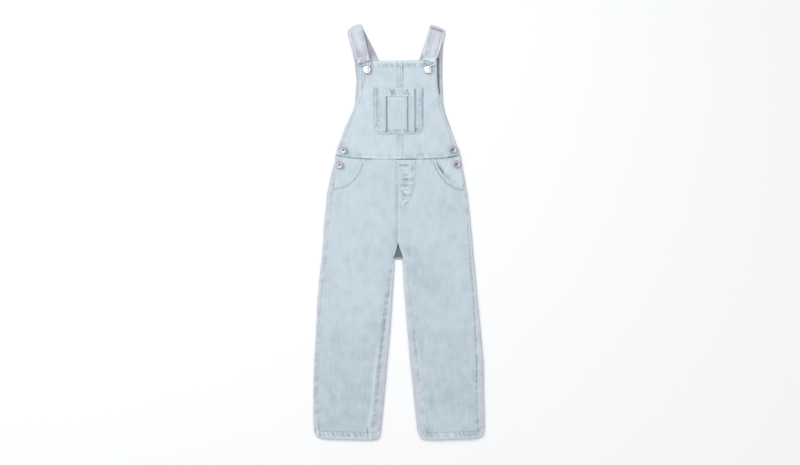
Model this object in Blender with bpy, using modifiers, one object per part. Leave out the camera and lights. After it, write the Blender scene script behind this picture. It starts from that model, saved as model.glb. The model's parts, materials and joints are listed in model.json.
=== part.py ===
# Kids' dungarees, laid flat on their back with the front up.
# X runs across the garment, Y from the hems up to the shoulders, Z up from the surface it lies on.
# "left" and "right" are as seen from above. Tables are in millimetres and read in metres.

import math
from collections import namedtuple

import bmesh
import bpy
import numpy as np

MM = 0.001

# Driving dimensions
WALL = 1.2  # one layer of denim
HEM_WALL = 2.0  # denim folded on itself at hems and felled seams
FLY_WALL = 1.0
STRAP_WALL = 1.4
CLEAR = 0.3  # gap between two pieces
EDGE_RADIUS = 2.3  # outside of the back cloth where it turns over to the front
LOW = 0.05  # a turned strip starts this much inside the flat back, so that the two join

CENTRE = -2.5  # centre front and centre back seam
WAIST = 158.8  # waist seam at the centre
WAIST_LIFT = 9.0  # and how much higher it is at the sides
WAIST_HALF = 136.0
BAND = 12.0  # height of the felled waist seam
BIB_TOP = 375.0
CROTCH = -22.0  # end of the front rise
FORK_FOLD = -60.3  # where the turned-up back fork folds
HEM_ROWS = 2  # the lowest rows of each leg table are the folded hem
BOW_CORNER = 8  # the higher, the sharper the corners of a hem

FRONT_COLUMNS = 10  # points across each front panel
CROWD = 0.35  # and how much closer together they are near its edges
EDGE_SLOPE = 40.0  # the front cloth rises to its full height this far in from an edge
BIB_SLOPE = 36.0
FRONT_HEIGHT = [(-450, 4.4), (-60, 4.6), (60, 5.0), (160, 5.0)]  # of its underside, up the garment
BUTTON_STEPS = 20
SIDE_LEAN = math.radians(22)  # the side buttons lean outward with the sloping sides
WIRE = 1.0  # radius of the hook wire
HOOK_RING = 8.9  # centre line of the wire round the button
HOOK_OVERHANG = 0.09  # the bar passes both strap edges by this share of the width
HOOK_DROP = 5.0  # the wire runs this far past the strap's end before it narrows

# Colours, roughness and metallic value of the plain materials
DENIM = ((0.58, 0.66, 0.73), 0.92, 0.0)
DENIM_INNER = ((0.42, 0.49, 0.55), 0.95, 0.0)
STEEL = ((0.62, 0.61, 0.62), 0.35, 1.0)

Edge = namedtuple("Edge", "y left right")
Leg = namedtuple("Leg", "outer_y outer_x inner_y inner_x outer_turn inner_turn bow")
Span = namedtuple("Span", "left_y left_x right_y right_x")
Ribbon = namedtuple("Ribbon", "left_x left_y right_x right_y z")
Crease = namedtuple("Crease", "x y to_x to_y width depth")

# The whole outline from the crotch up to the bib.
BODY = [
    Edge(-58, -170, 163.5),
    Edge(-22, -166.5, 161),
    Edge(13, -165.5, 157.5),
    Edge(48, -161.5, 154),
    Edge(84, -158.5, 150),
    Edge(101, -154.7, 146),
    Edge(119, -151.5, 143.5),
    Edge(136, -147, 139.5),
    Edge(154, -141.5, 137),
    Edge(168, -139, 133.5),
    Edge(189, -133, 126.5),
    Edge(207, -126.5, 121.5),
    Edge(224, -121, 115),
    Edge(242, -113, 106.5),
    Edge(260, -104, 101.5),
    Edge(277, -97.5, 98),
    Edge(297, -95, 96),
    Edge(334, -93.5, 95.3),
]

# Edges of each leg from the hem up; a turn is how far the back cloth reaches onto the front.
LEFT_LEG = [
    Leg(-446, -184, -450, -42.5, 11, 17, 7.5),
    Leg(-438.2, -187, -441, -40.5, 11, 17, 3),
    Leg(-437.6, -187, -440, -40.3, 11, 17, 2.5),
    Leg(-409, -188, -409, -37, 9, 16, 0),
    Leg(-356, -188, -356, -32, 5, 15, 0),
    Leg(-286, -186, -286, -26, 4, 15, 0),
    Leg(-216, -182, -216, -19.5, 4, 12, 0),
    Leg(-145, -179, -145, -15, 5, 8, 0),
    Leg(-100, -175, -100, -12, 6, 6, 0),
    Leg(-75, -172, -75, -10.8, 6, 4.5, 0),
    Leg(-58, -170, -58, -10, 7, 2.6, 0),
]
RIGHT_LEG = [
    Leg(-445, 185, -450, 45, 13, 19, 8),
    Leg(-434.2, 188, -441, 41.3, 13, 19, 4),
    Leg(-433.6, 188, -440, 41.1, 13, 19, 3.5),
    Leg(-409, 188, -409, 37, 14.5, 17, 0),
    Leg(-356, 186.5, -356, 32, 14.5, 15.4, 0),
    Leg(-286, 185.5, -286, 24.5, 13, 14.5, 0),
    Leg(-216, 179, -216, 18.5, 10, 12, 0),
    Leg(-145, 172, -145, 12.5, 7, 8, 0),
    Leg(-100, 168, -100, 9.5, 6, 6, 0),
    Leg(-75, 166, -75, 8, 6, 4.5, 0),
    Leg(-58, 163.5, -58, 7, 5.5, 2.6, 0),
]
# The hips above, up to the waist seam: the outline there is BODY's.
HIP_LEVELS = [-56, -40, -22, 13, 48, 84, 101, 119, 136]
LEFT_TURN = [(-58, 7), (13, 8), (101, 9), (136, 4), (160, 3)]
RIGHT_TURN = [(-58, 5.5), (-22, 5), (48, 3.5), (101, 3), (160, 3)]

# Front panels from the crotch up: outer edge, then inner edge. The outer edge ends in the scoop.
LEFT_HIP = [
    Span(-50, None, -50, -9.5),
    Span(-38, None, -38, -6),
    Span(CROTCH, None, CROTCH, CENTRE - CLEAR),
    Span(13, None, 13, None),
    Span(48, None, 48, None),
    Span(80, None, 80, None),
    Span(97, None, 98, None),
    Span(101, -145.3, 110, None),
    Span(103.5, -132, 119, None),
    Span(109, -115, 128, None),
    Span(121, -101, 137, None),
    Span(138, -89, 147, None),
    Span(160, -81, WAIST, None),
]
RIGHT_HIP = [
    Span(-50, 7, -50, None),
    Span(-38, 3, -38, None),
    Span(CROTCH, CENTRE + CLEAR, CROTCH, None),
    Span(13, None, 13, None),
    Span(48, None, 48, None),
    Span(80, None, 80, None),
    Span(97, None, 96, None),
    Span(106, None, 100, 142.2),
    Span(115, None, 103, 126),
    Span(125, None, 113, 108),
    Span(136, None, 128, 95),
    Span(147, None, 144, 85),
    Span(WAIST, None, 160, 77),
]
# How far in the hip facings reach, from the waist down under the pocket edge.
LEFT_FACING_REACH = [(84, -112), (92, -100), (101, -90), (119, -77), (136, -69), (160, -62)]
RIGHT_FACING_REACH = [(84, 106), (92, 96), (101, 87), (119, 74), (136, 66), (160, 58)]

# The front bib's side edges; the back shows beyond them on both sides.
BIB = [
    Edge(WAIST, -138, 132.5),
    Edge(173, -135.8, 130.2),
    Edge(173.8, -135.5, 130),
    Edge(189, -132, 125.5),
    Edge(207, -125.5, 120.5),
    Edge(224, -120, 114),
    Edge(242, -112, 105.5),
    Edge(260, -103, 99.5),
    Edge(277, -96, 94.5),
    Edge(297, -90, 89),
    Edge(320, -87, 86.5),
    Edge(345, -86, 85.5),
    Edge(362, -86, 85.5),
    Edge(362.8, -86, 85.5),
    Edge(BIB_TOP, -85.5, 85),
]
BIB_LAP = (-7.5, 7.7)  # the felled centre seam of the bib
POCKET_SPAN = (-56.5, 52.8)
POCKET_HEIGHT = (215, 317.5)
POCKET_CORNER = 17.0
PLEATS = {"left": (-43, -29.2), "right": (21.2, 34.2)}
PLEAT_HEIGHT = (221, 317)
POCKET_HEM = (-42, 33.5, 298, 317)
FLY = [Edge(53, -2, 6), Edge(60, -2, 13), Edge(70, -2, 22), Edge(82, -2, 29), Edge(96, -2, 33)]
FLY += [Edge(112, -2, 35.5), Edge(135, -2, 36.8), Edge(WAIST - CLEAR, -2, 37.2)]

# Half outlines of the back bib, from the waist up each side and round each arm.
BACK_LEFT = [(-133, 189), (-121, 224), (-104, 260), (-97, 280), (-93.5, 334), (-97, 372)]
BACK_LEFT += [(-103, 402), (-110, 428)]
BACK_LEFT_INNER = [(-78.8, 445.5), (-66, 421), (-53, 396), (-44, 377), (-27, 357)]
BACK_NECK = [(0, 348), (24, 355)]
BACK_RIGHT_INNER = [(41, 371), (50.5, 393), (59.5, 420), (66.5, 445.5)]
BACK_RIGHT = [(97.8, 434.5), (96.2, 402), (95.2, 372), (95, 334), (97.5, 280), (102, 260)]
BACK_RIGHT += [(115, 224), (126.5, 189)]

# Shoulder straps: edges and height of the middle of the cloth, from the free end under the front.
LEFT_STRAP_UNDER = [Ribbon(-102, 398, -71, 408, 2.4), Ribbon(-97, 385, -68, 392, 3.7)]
LEFT_STRAP_LOOP = Ribbon(-89.5, 373, -65, 379.5, 4.8)
LEFT_STRAP_FRONT = [
    Ribbon(-98, 386, -67.8, 393, 6.6),
    Ribbon(-103, 401, -71.8, 410, 4.6),
    Ribbon(-108.5, 419, -76.5, 429.5, 3.4),
    Ribbon(-113, 434.5, -81.3, 449, 2.7),
]
LEFT_STRAP_FOLD = Ribbon(-112, 442, -83.5, 455.5, 0.7)
LEFT_STRAP_BACK = [Ribbon(-110.3, 428.9, -79, 446.4, 0.7)]
RIGHT_STRAP_UNDER = [Ribbon(56, 405, 88, 395, 2.4), Ribbon(53, 392, 82.5, 384.5, 3.7)]
RIGHT_STRAP_LOOP = Ribbon(55.5, 381, 79.5, 374.5, 4.8)
RIGHT_STRAP_FRONT = [
    Ribbon(52, 393, 84.5, 385, 6.6),
    Ribbon(57, 409, 90, 400, 4.6),
    Ribbon(62.5, 429, 96, 418, 3.4),
    Ribbon(67.8, 448, 100.5, 436.5, 2.7),
]
RIGHT_STRAP_FOLD = Ribbon(69.6, 455, 99.6, 443.5, 0.7)
RIGHT_STRAP_BACK = [Ribbon(66.8, 446.4, 97.8, 435.4, 0.7)]
LOOP_RADIUS = 2.3
FOLD_RADIUS = 0.95

# The largest soft folds of the front, as troughs from one point to another.
CREASES = [
    Crease(6, -60, 40, -215, 16, 0.7),
    Crease(-18, -130, -36, -300, 14, 0.6),
    Crease(60, 120, 52, 40, 13, 0.5),
    Crease(-120, -320, -60, -345, 16, 0.5),
    Crease(70, -330, 150, -352, 15, 0.5),
    Crease(-150, 60, -95, 30, 15, 0.5),
]

BIB_BUTTONS = {"left": (-71.5, 357.5), "right": (63.6, 357.0)}
SIDE_BUTTONS = {
    "left_upper": (-122.8, 180.5),
    "left_lower": (-131.0, 148.0),
    "right_upper": (117.7, 181.0),
    "right_lower": (125.8, 149.0),
}
# The turned head of a tack button: radius and height above its shank, from the middle out.
BUTTON_HEAD = [(0.0, 1.3), (2.2, 1.4), (4.2, 2.6), (7.2, 2.5), (8.5, 1.5), (8.2, 0.6), (3.4, 0.0)]
BUTTON_FOOT = [(3.0, 0.6), (4.2, 0.0), (0.0, 0.0)]
BIB_SHANK = 3.7  # leaves room for the hook's wire under the head
SIDE_SHANK = 2.6


def clear_scene():
    for obj in list(bpy.data.objects):
        bpy.data.objects.remove(obj, do_unlink=True)


def collection_named(name):
    collection = bpy.data.collections.new(name)
    bpy.context.scene.collection.children.link(collection)
    return collection


def material(name, finish):
    colour, roughness, metallic = finish
    made = bpy.data.materials.new(name)
    made.use_nodes = True
    shader = made.node_tree.nodes["Principled BSDF"]
    shader.inputs["Base Color"].default_value = (*colour, 1.0)
    shader.inputs["Roughness"].default_value = roughness
    shader.inputs["Metallic"].default_value = metallic
    made.diffuse_color = (*colour, 1.0)
    return made


def add_object(name, data, finish):
    obj = bpy.data.objects.new(name, data)
    GARMENT.objects.link(obj)
    data.materials.append(material(name, finish))
    return obj


def smooth(t):
    t = min(max(t, 0.0), 1.0)
    return t * t * (3 - 2 * t)


def read(pairs, at):
    """Reads a table of (position, value) pairs between its rows."""
    return float(np.interp(at, [row[0] for row in pairs], [row[1] for row in pairs]))


def body_edges(y):
    levels = [edge.y for edge in BODY]
    left = float(np.interp(y, levels, [edge.left for edge in BODY]))
    right = float(np.interp(y, levels, [edge.right for edge in BODY]))
    return left, right


def side_edge(side, y):
    return body_edges(y)[0 if side == "left" else 1]


def leg_edges(leg, y):
    levels = [row.outer_y for row in leg]
    outer = float(np.interp(y, levels, [row.outer_x for row in leg]))
    inner = float(np.interp(y, levels, [row.inner_x for row in leg]))
    return outer, inner


def waist_y(x):
    return WAIST + WAIST_LIFT * abs(x / WAIST_HALF) ** 3


def trough(crease, x, y):
    """Depth of one soft fold at a point: it fades out to both ends."""
    along = np.array([crease.to_x - crease.x, crease.to_y - crease.y], float)
    length = np.linalg.norm(along)
    along /= length
    offset = np.array([x - crease.x, y - crease.y])
    run = float(offset @ along) / length
    across = abs(float(offset[0] * along[1] - offset[1] * along[0])) / crease.width
    if not 0 < run < 1 or across >= 1:
        return 0.0
    return crease.depth * math.sin(math.pi * run) * (1 - smooth(across))


def gape(x, y):
    """The right pocket edge stands away from the hip under it."""
    return 2.0 * math.exp(-((x - 91) ** 2 + (y - 135) ** 2) / (2 * 11.0**2))


def front_under(x, y):
    """Height of the underside of the front cloth below the waist."""
    if y > -58:
        left, right = body_edges(y)
        notch = math.hypot(x - CENTRE, y + 58)
        distance = min(x - left, right - x, notch if y < 0 else 99)
    else:
        outer, inner = leg_edges(LEFT_LEG if x < CENTRE else RIGHT_LEG, y)
        distance = min(abs(x - outer), abs(x - inner))
    edge = 2 * EDGE_RADIUS - WALL
    plateau = read(FRONT_HEIGHT, y)
    fold = sum(trough(crease, x, y) for crease in CREASES)
    rise = smooth(distance / EDGE_SLOPE)
    return edge + (plateau - edge - fold) * rise


def bib_under(x, y):
    """Height of the underside of the bib: it comes down onto the back towards the top."""
    low = WALL + CLEAR
    flat = low + (FRONT_HEIGHT[-1][1] - low) * (1 - smooth((y - WAIST) / 190))
    edge = low + (2 * EDGE_RADIUS - WALL - low) * (1 - smooth((y - WAIST) / 55))
    left, right = bib_edges(y)
    return edge + (flat - edge) * smooth(min(x - left, right - x) / BIB_SLOPE)


def bib_edges(y):
    levels = [edge.y for edge in BIB]
    left = float(np.interp(y, levels, [edge.left for edge in BIB]))
    right = float(np.interp(y, levels, [edge.right for edge in BIB]))
    return left, right


def facing_under(x, y, side, turn):
    """The hip facing lies under the pocket edge and comes up level with the side seam."""
    left, right = body_edges(y)
    inset = (x - left if side == "left" else right - x) - turn
    under = 1 - smooth((y - 112) / 22)
    drop = (WALL + 0.55) * max(smooth(inset / 16), under)
    return front_under(x, y) - drop


def cloth(name, points, finish=DENIM, walls=None, wall=WALL, offset=1.0):
    """A wall of cloth through rows of points in mm. It grows to the side its grid faces."""
    rows, columns = len(points), len(points[0])
    mesh = bpy.data.meshes.new(name)
    shape = bmesh.new()
    bmesh.ops.create_grid(shape, x_segments=columns - 1, y_segments=rows - 1, size=1.0)
    shape.verts.ensure_lookup_table()
    for index, vert in enumerate(shape.verts):
        vert.co = [value * MM for value in points[index // columns][index % columns]]
    shape.to_mesh(mesh)
    shape.free()
    obj = add_object(name, mesh, finish)
    solidify = obj.modifiers.new("wall", "SOLIDIFY")
    solidify.offset = offset
    solidify.thickness = wall * MM
    if walls:
        thickest = max(max(row) for row in walls)
        solidify.thickness = thickest * MM
        group = obj.vertex_groups.new(name="wall")
        for index in range(rows * columns):
            share = walls[index // columns][index % columns] / thickest
            group.add([index], share, "REPLACE")
        solidify.vertex_group = "wall"
    return obj


def joined(obj, others):
    """One body of several walls that overlap, the modifiers of all of them applied."""
    for other in others:
        union = obj.modifiers.new("join", "BOOLEAN")
        union.operation = "UNION"
        union.object = other
    graph = bpy.context.evaluated_depsgraph_get()
    whole = bpy.data.meshes.new_from_object(obj.evaluated_get(graph))
    obj.modifiers.clear()
    obj.vertex_groups.clear()
    obj.data = whole
    for other in others:
        bpy.data.objects.remove(other, do_unlink=True)


def spread(start, end, count, crowd=0.0):
    """Positions from start to end, closer together near both ends as crowd goes up to 1."""
    made = []
    for step in range(count):
        t = step / (count - 1)
        eased = (1 - math.cos(math.pi * t)) / 2
        made.append(start + (end - start) * (t + (eased - t) * crowd))
    return made


def turned_edge(edge, turn, inward, low=0.0):
    """Section of cloth turned over at an edge, from its seam on top round to the flat below."""
    radius = EDGE_RADIUS - low / 2
    section = [(edge + inward * turn, 2 * EDGE_RADIUS)]
    for degrees in (90, 45, 0, -45, -90):
        angle = math.radians(degrees)
        x = edge + inward * (radius - radius * math.cos(angle))
        section.append((x, low + radius + radius * math.sin(angle)))
    return section


def leg_level(row, x):
    """The height up the garment at x on a leg row, with the hem's bow."""
    if row.inner_x is None:
        return row.outer_y
    share = (x - row.outer_x) / (row.inner_x - row.outer_x)
    share = min(max(share, 0.0), 1.0)
    level = row.outer_y + (row.inner_y - row.outer_y) * share
    return level - row.bow * (1 - abs(2 * share - 1) ** BOW_CORNER)


def leg_wall(leg, row):
    return HEM_WALL if row in leg[:HEM_ROWS] else WALL


def hip_rows(side, turns):
    """Leg rows for the hips, whose inner edge is the centre back seam."""
    made = []
    for y in [*HIP_LEVELS, WAIST]:
        made.append(Leg(y, side_edge(side, y), y, None, read(turns, y), 0, 0))
    return made


def back_leg(side, leg, turns):
    """The back of one leg and hip: flat below, turned over both leg edges, forked at the crotch."""
    inward = 1 if side == "left" else -1
    seam = CENTRE - inward * CLEAR / 2
    rows, walls = [], []
    for row in [*leg, *hip_rows(side, turns)]:
        inner = seam if row.inner_x is None else row.inner_x - inward * EDGE_RADIUS
        outer = turned_edge(row.outer_x, row.outer_turn, inward)
        flat = spread(outer[-1][0], inner, 7, CROWD)[1:]
        section = outer + [(x, 0.0) for x in flat]
        points = []
        for x, z in section:
            level = leg_level(row, x)
            if row.outer_y == WAIST:
                level = waist_y(x) - CLEAR / 2
            points.append((x, level, z))
        rows.append(points)
        walls.append([leg_wall(leg, row)] * len(points))
    if side == "right":
        rows = [row[::-1] for row in rows]
    plate = cloth(f"back_leg_{side}", rows, walls=walls)
    strip = inner_turn(side, leg, inward)
    fork = fork_half(side, inward)
    joined(plate, [strip, fork])
    return plate


def inner_turn(side, leg, inward):
    """The back cloth where it turns over the inside edge of a leg."""
    rows, walls = [], []
    for row in leg:
        section = turned_edge(row.inner_x, row.inner_turn, -inward, LOW)
        section.append((section[-1][0] - inward * 2.0, LOW))
        points = [(x, leg_level(row, x), z) for x, z in section]
        rows.append(points)
        walls.append([leg_wall(leg, row) - 2 * LOW] * len(points))
    if side == "left":
        rows = [row[::-1] for row in rows]
    return cloth("inner_turn", rows, walls=walls)


def fork_half(side, inward):
    """Half of the back fork: flat, folded up at the crotch and run up to the end of the rise."""
    seam = CENTRE - inward * CLEAR / 2
    top = WALL * 2 + CLEAR
    radius = (top - LOW) / 2
    table = [(-25.5, 2.6, top), (-38, 6.6, top), (-50, 10.4, top), (FORK_FOLD + radius, 10.8, top)]
    for degrees in (45, 0, -45, -90):
        angle = math.radians(degrees)
        y = FORK_FOLD + radius - radius * math.cos(angle)
        table.append((y, 10.8, LOW + radius + radius * math.sin(angle)))
    table.append((-53.5, 10.8, LOW))
    rows = []
    for y, reach, z in table:
        outer = seam - inward * reach
        row = [(x, y, z) for x in spread(outer, seam, 4)]
        rows.append(row if side == "left" else row[::-1])
    return cloth("fork", rows, wall=WALL - 2 * LOW)


def front_leg(side, leg, hips, turns):
    """The front of one leg and hip, from seam to seam, with the scooped pocket opening."""
    inward = 1 if side == "left" else -1
    rows, walls = [], []
    for row in leg:
        outer = row.outer_x + inward * (row.outer_turn + CLEAR)
        inner = row.inner_x - inward * (row.inner_turn + CLEAR)
        rows.append([(x, leg_level(row, x)) for x in spread(outer, inner, FRONT_COLUMNS, CROWD)])
        walls.append([leg_wall(leg, row)] * FRONT_COLUMNS)
    for span in hips:
        outer_y, outer_x, inner_y, inner_x = span
        if side == "right":
            inner_y, inner_x, outer_y, outer_x = span
        if outer_x is None:
            outer_x = side_edge(side, outer_y) + inward * (read(turns, outer_y) + CLEAR)
        if inner_x is None:
            inner_x = CENTRE - inward * CLEAR / 2
        row = []
        for x in spread(outer_x, inner_x, FRONT_COLUMNS, CROWD):
            share = (x - outer_x) / (inner_x - outer_x)
            y = outer_y + (inner_y - outer_y) * share
            if span is hips[-1]:
                y = waist_y(x) - CLEAR / 2
            row.append((x, y))
        rows.append(row)
        walls.append([WALL] * FRONT_COLUMNS)
    points = []
    for row in rows:
        lifted = [(x, y, front_under(x, y) + (gape(x, y) if side == "right" else 0)) for x, y in row]
        points.append(lifted if side == "left" else lifted[::-1])
    return cloth(f"front_leg_{side}", points, walls=walls)


def hip_facing(side, reach, turns):
    """The cloth seen inside the scooped pocket, from the side seam to under the pocket edge."""
    inward = 1 if side == "left" else -1
    rows = []
    for y in (84, 92, 101, 110, 119, 128, 136, 148, WAIST):
        turn = read(turns, y)
        outer = side_edge(side, y) + inward * (turn + CLEAR)
        if y < 103:
            outer += inward * 5.5
        line = spread(outer, read(reach, y), 8)
        row = []
        for x in line:
            level = waist_y(x) - CLEAR / 2 if y == WAIST else y
            row.append((x, level, facing_under(x, y, side, turn)))
        rows.append(row if side == "left" else row[::-1])
    return cloth(f"hip_facing_{side}", rows)


def bib_front(side):
    """Half of the bib. The left half is lapped over the centre seam and felled."""
    rows, walls = [], []
    for edge in BIB:
        if side == "left":
            line = spread(edge.left, BIB_LAP[0] - 0.4, 8, 0.3) + [BIB_LAP[0], 0.0, BIB_LAP[1]]
        else:
            line = spread(BIB_LAP[1] + CLEAR, edge.right, 8, 0.3)
        row, wall = [], []
        for x in line:
            y = waist_y(x) + CLEAR / 2 if edge.y == WAIST else edge.y
            if WAIST < edge.y < 175:
                y = waist_y(x) + BAND + (edge.y - 173)
            if edge.y == BIB_TOP:
                y += (x + 85) * 0.017
            row.append((x, y, bib_under(x, edge.y)))
            under_pocket = POCKET_HEIGHT[0] - 9 < edge.y < POCKET_HEIGHT[1] + 3
            felled = side == "left" and x >= BIB_LAP[0] and not under_pocket
            hemmed = edge.y > 362.5 or edge.y < 173.4
            wall.append(HEM_WALL if felled or hemmed else WALL)
        rows.append(row)
        walls.append(wall)
    return cloth(f"bib_front_{side}", rows, walls=walls)


def on_bib(x, y, layers=1):
    """Underside of a piece lying on the bib, this many layers up."""
    return bib_under(x, y) + layers * (WALL + CLEAR)


def bib_pocket():
    low, high = POCKET_HEIGHT
    rows = []
    corner = [0, 0.076, 0.293, 0.617, 1.0]
    levels = [low + POCKET_CORNER * share for share in corner]
    for y in levels + spread(low + POCKET_CORNER, high, 7)[1:]:
        drop = max(0.0, low + POCKET_CORNER - y)
        pull = POCKET_CORNER - math.sqrt(max(POCKET_CORNER**2 - drop**2, 0.0))
        line = spread(POCKET_SPAN[0] + pull * 0.8, POCKET_SPAN[1] - pull * 0.8, 9)
        rows.append([(x, y, on_bib(x, y)) for x in line])
    return cloth("bib_pocket", rows)


def pocket_strip(name, left, right, low, high, columns, layers):
    rows = []
    for y in spread(low, high, 7):
        rows.append([(x, y, on_bib(x, y, layers)) for x in spread(left, right, columns)])
    return cloth(name, rows, wall=FLY_WALL)


def fly_facing():
    rows = []
    for edge in FLY:
        line = spread(edge.left, edge.right, 6)
        rows.append([(x, edge.y, front_under(x, edge.y) + WALL + CLEAR) for x in line])
    return cloth("fly_facing", rows, wall=FLY_WALL)


def flat_outline(name, spline_parts, wall, finish):
    """A flat piece from its outline: a round stretch is curved, a straight one has its ends only."""
    curve = bpy.data.curves.new(name, "CURVE")
    curve.dimensions = "2D"
    curve.fill_mode = "BOTH"
    curve.extrude = wall / 2 * MM
    points = [(point, kind) for part, kind in spline_parts for point in part]
    spline = curve.splines.new("BEZIER")
    spline.bezier_points.add(len(points) - 1)
    spline.use_cyclic_u = True
    spline.resolution_u = 3
    for bezier, (point, kind) in zip(spline.bezier_points, points):
        bezier.co = (point[0] * MM, point[1] * MM, 0)
        bezier.handle_left_type = kind
        bezier.handle_right_type = kind
    obj = add_object(name, curve, finish)
    obj.location.z = wall / 2 * MM
    return obj


def back_bib():
    waist = [(x, waist_y(x) + CLEAR) for x in (133, 100, 60, 0, -60, -104, -138)]
    parts = [
        (waist, "VECTOR"),
        (BACK_LEFT[:-1], "AUTO"),
        ([BACK_LEFT[-1]], "VECTOR"),
        ([BACK_LEFT_INNER[0]], "VECTOR"),
        (BACK_LEFT_INNER[1:] + BACK_NECK + BACK_RIGHT_INNER[:-1], "AUTO"),
        ([BACK_RIGHT_INNER[-1]], "VECTOR"),
        ([BACK_RIGHT[0]], "VECTOR"),
        (BACK_RIGHT[1:], "AUTO"),
    ]
    return flat_outline("back_bib", parts, WALL, DENIM_INNER)


def bend(row, radius, outward, angles):
    """Rows of a strap round a bend whose lowest layer is the given row."""
    along = np.array([row.right_x - row.left_x, row.right_y - row.left_y], float)
    along /= np.linalg.norm(along)
    across = np.array([-along[1], along[0]]) * outward
    made = []
    for degrees in angles:
        angle = math.radians(degrees)
        reach = across * radius * math.cos(angle)
        z = row.z + radius + radius * math.sin(angle)
        made.append(Ribbon(row.left_x + reach[0], row.left_y + reach[1],
                           row.right_x + reach[0], row.right_y + reach[1], z))
    return made


def strap(side, under, loop, front, fold, back):
    """One strap from its free end under the front, round the hook, over the shoulder and down."""
    path = list(under)
    path += bend(loop, LOOP_RADIUS, -1, (-90, -45, 0, 45, 90))
    path += front
    path += bend(fold, FOLD_RADIUS, 1, (90, 30, -30, -90))
    path += back
    rows = []
    for row in path:
        xs = spread(row.left_x, row.right_x, 4)
        ys = spread(row.left_y, row.right_y, 4)
        rows.append([(x, y, row.z) for x, y in zip(xs, ys)])
    return cloth(f"strap_{side}", rows, wall=STRAP_WALL, offset=0.0)


def wire_hook(side, loop):
    """Closed wire: a bar inside the strap's loop, two sides, and a ring round the button."""
    centre_x, centre_y = BIB_BUTTONS[side]
    bar_z = loop.z + LOOP_RADIUS
    ring_z = 2 * (WALL + CLEAR) + 0.9 + WIRE
    ends = []
    for share in (1 + HOOK_OVERHANG, -HOOK_OVERHANG):
        x = loop.left_x + (loop.right_x - loop.left_x) * share
        y = loop.left_y + (loop.right_y - loop.left_y) * share
        ends.append((x, y, bar_z))
    ring = []
    for step in range(15):
        angle = math.radians(55 - 290 * step / 14)
        x = centre_x + HOOK_RING * math.cos(angle)
        y = centre_y + HOOK_RING * math.sin(angle)
        ring.append((x, y, ring_z))
    down = np.array([loop.right_y - loop.left_y, loop.left_x - loop.right_x, 0.0])
    down *= HOOK_DROP / np.linalg.norm(down)
    corners = [tuple(np.array(end) + down) for end in ends]
    path = [ends[1], ends[0], corners[0], *ring, corners[1]]
    curve = bpy.data.curves.new(f"strap_hook_{side}", "CURVE")
    curve.dimensions = "3D"
    curve.bevel_depth = WIRE * MM
    curve.bevel_resolution = 1
    spline = curve.splines.new("POLY")
    spline.points.add(len(path) - 1)
    spline.use_cyclic_u = True
    for point, place in zip(spline.points, path):
        point.co = (*[value * MM for value in place], 1)
    return add_object(f"strap_hook_{side}", curve, STEEL)


def button(name, x, y, z, shank, lean=0.0):
    """A turned tack button standing on the cloth, leaning outward by an angle."""
    mesh = bpy.data.meshes.new(name)
    turned = [(radius, height + shank) for radius, height in BUTTON_HEAD] + BUTTON_FOOT
    profile = [(radius * MM, 0, height * MM) for radius, height in turned]
    mesh.from_pydata(profile, [(i, i + 1) for i in range(len(profile) - 1)], [])
    obj = add_object(name, mesh, STEEL)
    screw = obj.modifiers.new("turn", "SCREW")
    screw.steps = BUTTON_STEPS
    screw.render_steps = BUTTON_STEPS
    screw.use_merge_vertices = True
    screw.merge_threshold = 0.00001
    screw.use_normal_calculate = True
    lift = BUTTON_FOOT[1][0] * math.sin(abs(lean))
    obj.location = (x * MM, y * MM, (z + lift) * MM)
    obj.rotation_euler.y = lean
    return obj


def centre_on_origin(objects):
    """Puts the middle of the underside at the origin."""
    bpy.context.view_layer.update()
    graph = bpy.context.evaluated_depsgraph_get()
    low, high = np.full(3, np.inf), np.full(3, -np.inf)
    for obj in objects:
        evaluated = obj.evaluated_get(graph)
        mesh = evaluated.to_mesh()
        count = len(mesh.vertices)
        points = np.empty(count * 3)
        mesh.vertices.foreach_get("co", points)
        world = np.array(evaluated.matrix_world)
        points = points.reshape(-1, 3) @ world[:3, :3].T + world[:3, 3]
        low, high = np.minimum(low, points.min(axis=0)), np.maximum(high, points.max(axis=0))
        evaluated.to_mesh_clear()
    middle = (low + high) / 2
    for obj in objects:
        obj.location.x -= middle[0]
        obj.location.y -= middle[1]
        obj.location.z -= low[2]


clear_scene()
GARMENT = collection_named("kids_dungarees")

back_leg("left", LEFT_LEG, LEFT_TURN)
back_leg("right", RIGHT_LEG, RIGHT_TURN)
front_leg("left", LEFT_LEG, LEFT_HIP, LEFT_TURN)
front_leg("right", RIGHT_LEG, RIGHT_HIP, RIGHT_TURN)
hip_facing("left", LEFT_FACING_REACH, LEFT_TURN)
hip_facing("right", RIGHT_FACING_REACH, RIGHT_TURN)
fly_facing()
back_bib()
bib_front("left")
bib_front("right")
bib_pocket()
for pleat_side, (pleat_left, pleat_right) in PLEATS.items():
    pocket_strip(f"pocket_pleat_{pleat_side}", pleat_left, pleat_right, *PLEAT_HEIGHT, 3, 2)
pocket_strip("pocket_hem", POCKET_HEM[0], POCKET_HEM[1], *POCKET_HEM[2:], 8, 3)
strap("left", LEFT_STRAP_UNDER, LEFT_STRAP_LOOP, LEFT_STRAP_FRONT, LEFT_STRAP_FOLD, LEFT_STRAP_BACK)
strap("right", RIGHT_STRAP_UNDER, RIGHT_STRAP_LOOP, RIGHT_STRAP_FRONT, RIGHT_STRAP_FOLD,
      RIGHT_STRAP_BACK)
wire_hook("left", LEFT_STRAP_LOOP)
wire_hook("right", RIGHT_STRAP_LOOP)
for button_side, (button_x, button_y) in BIB_BUTTONS.items():
    button(f"bib_button_{button_side}", button_x, button_y, on_bib(button_x, button_y), BIB_SHANK)
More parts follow.
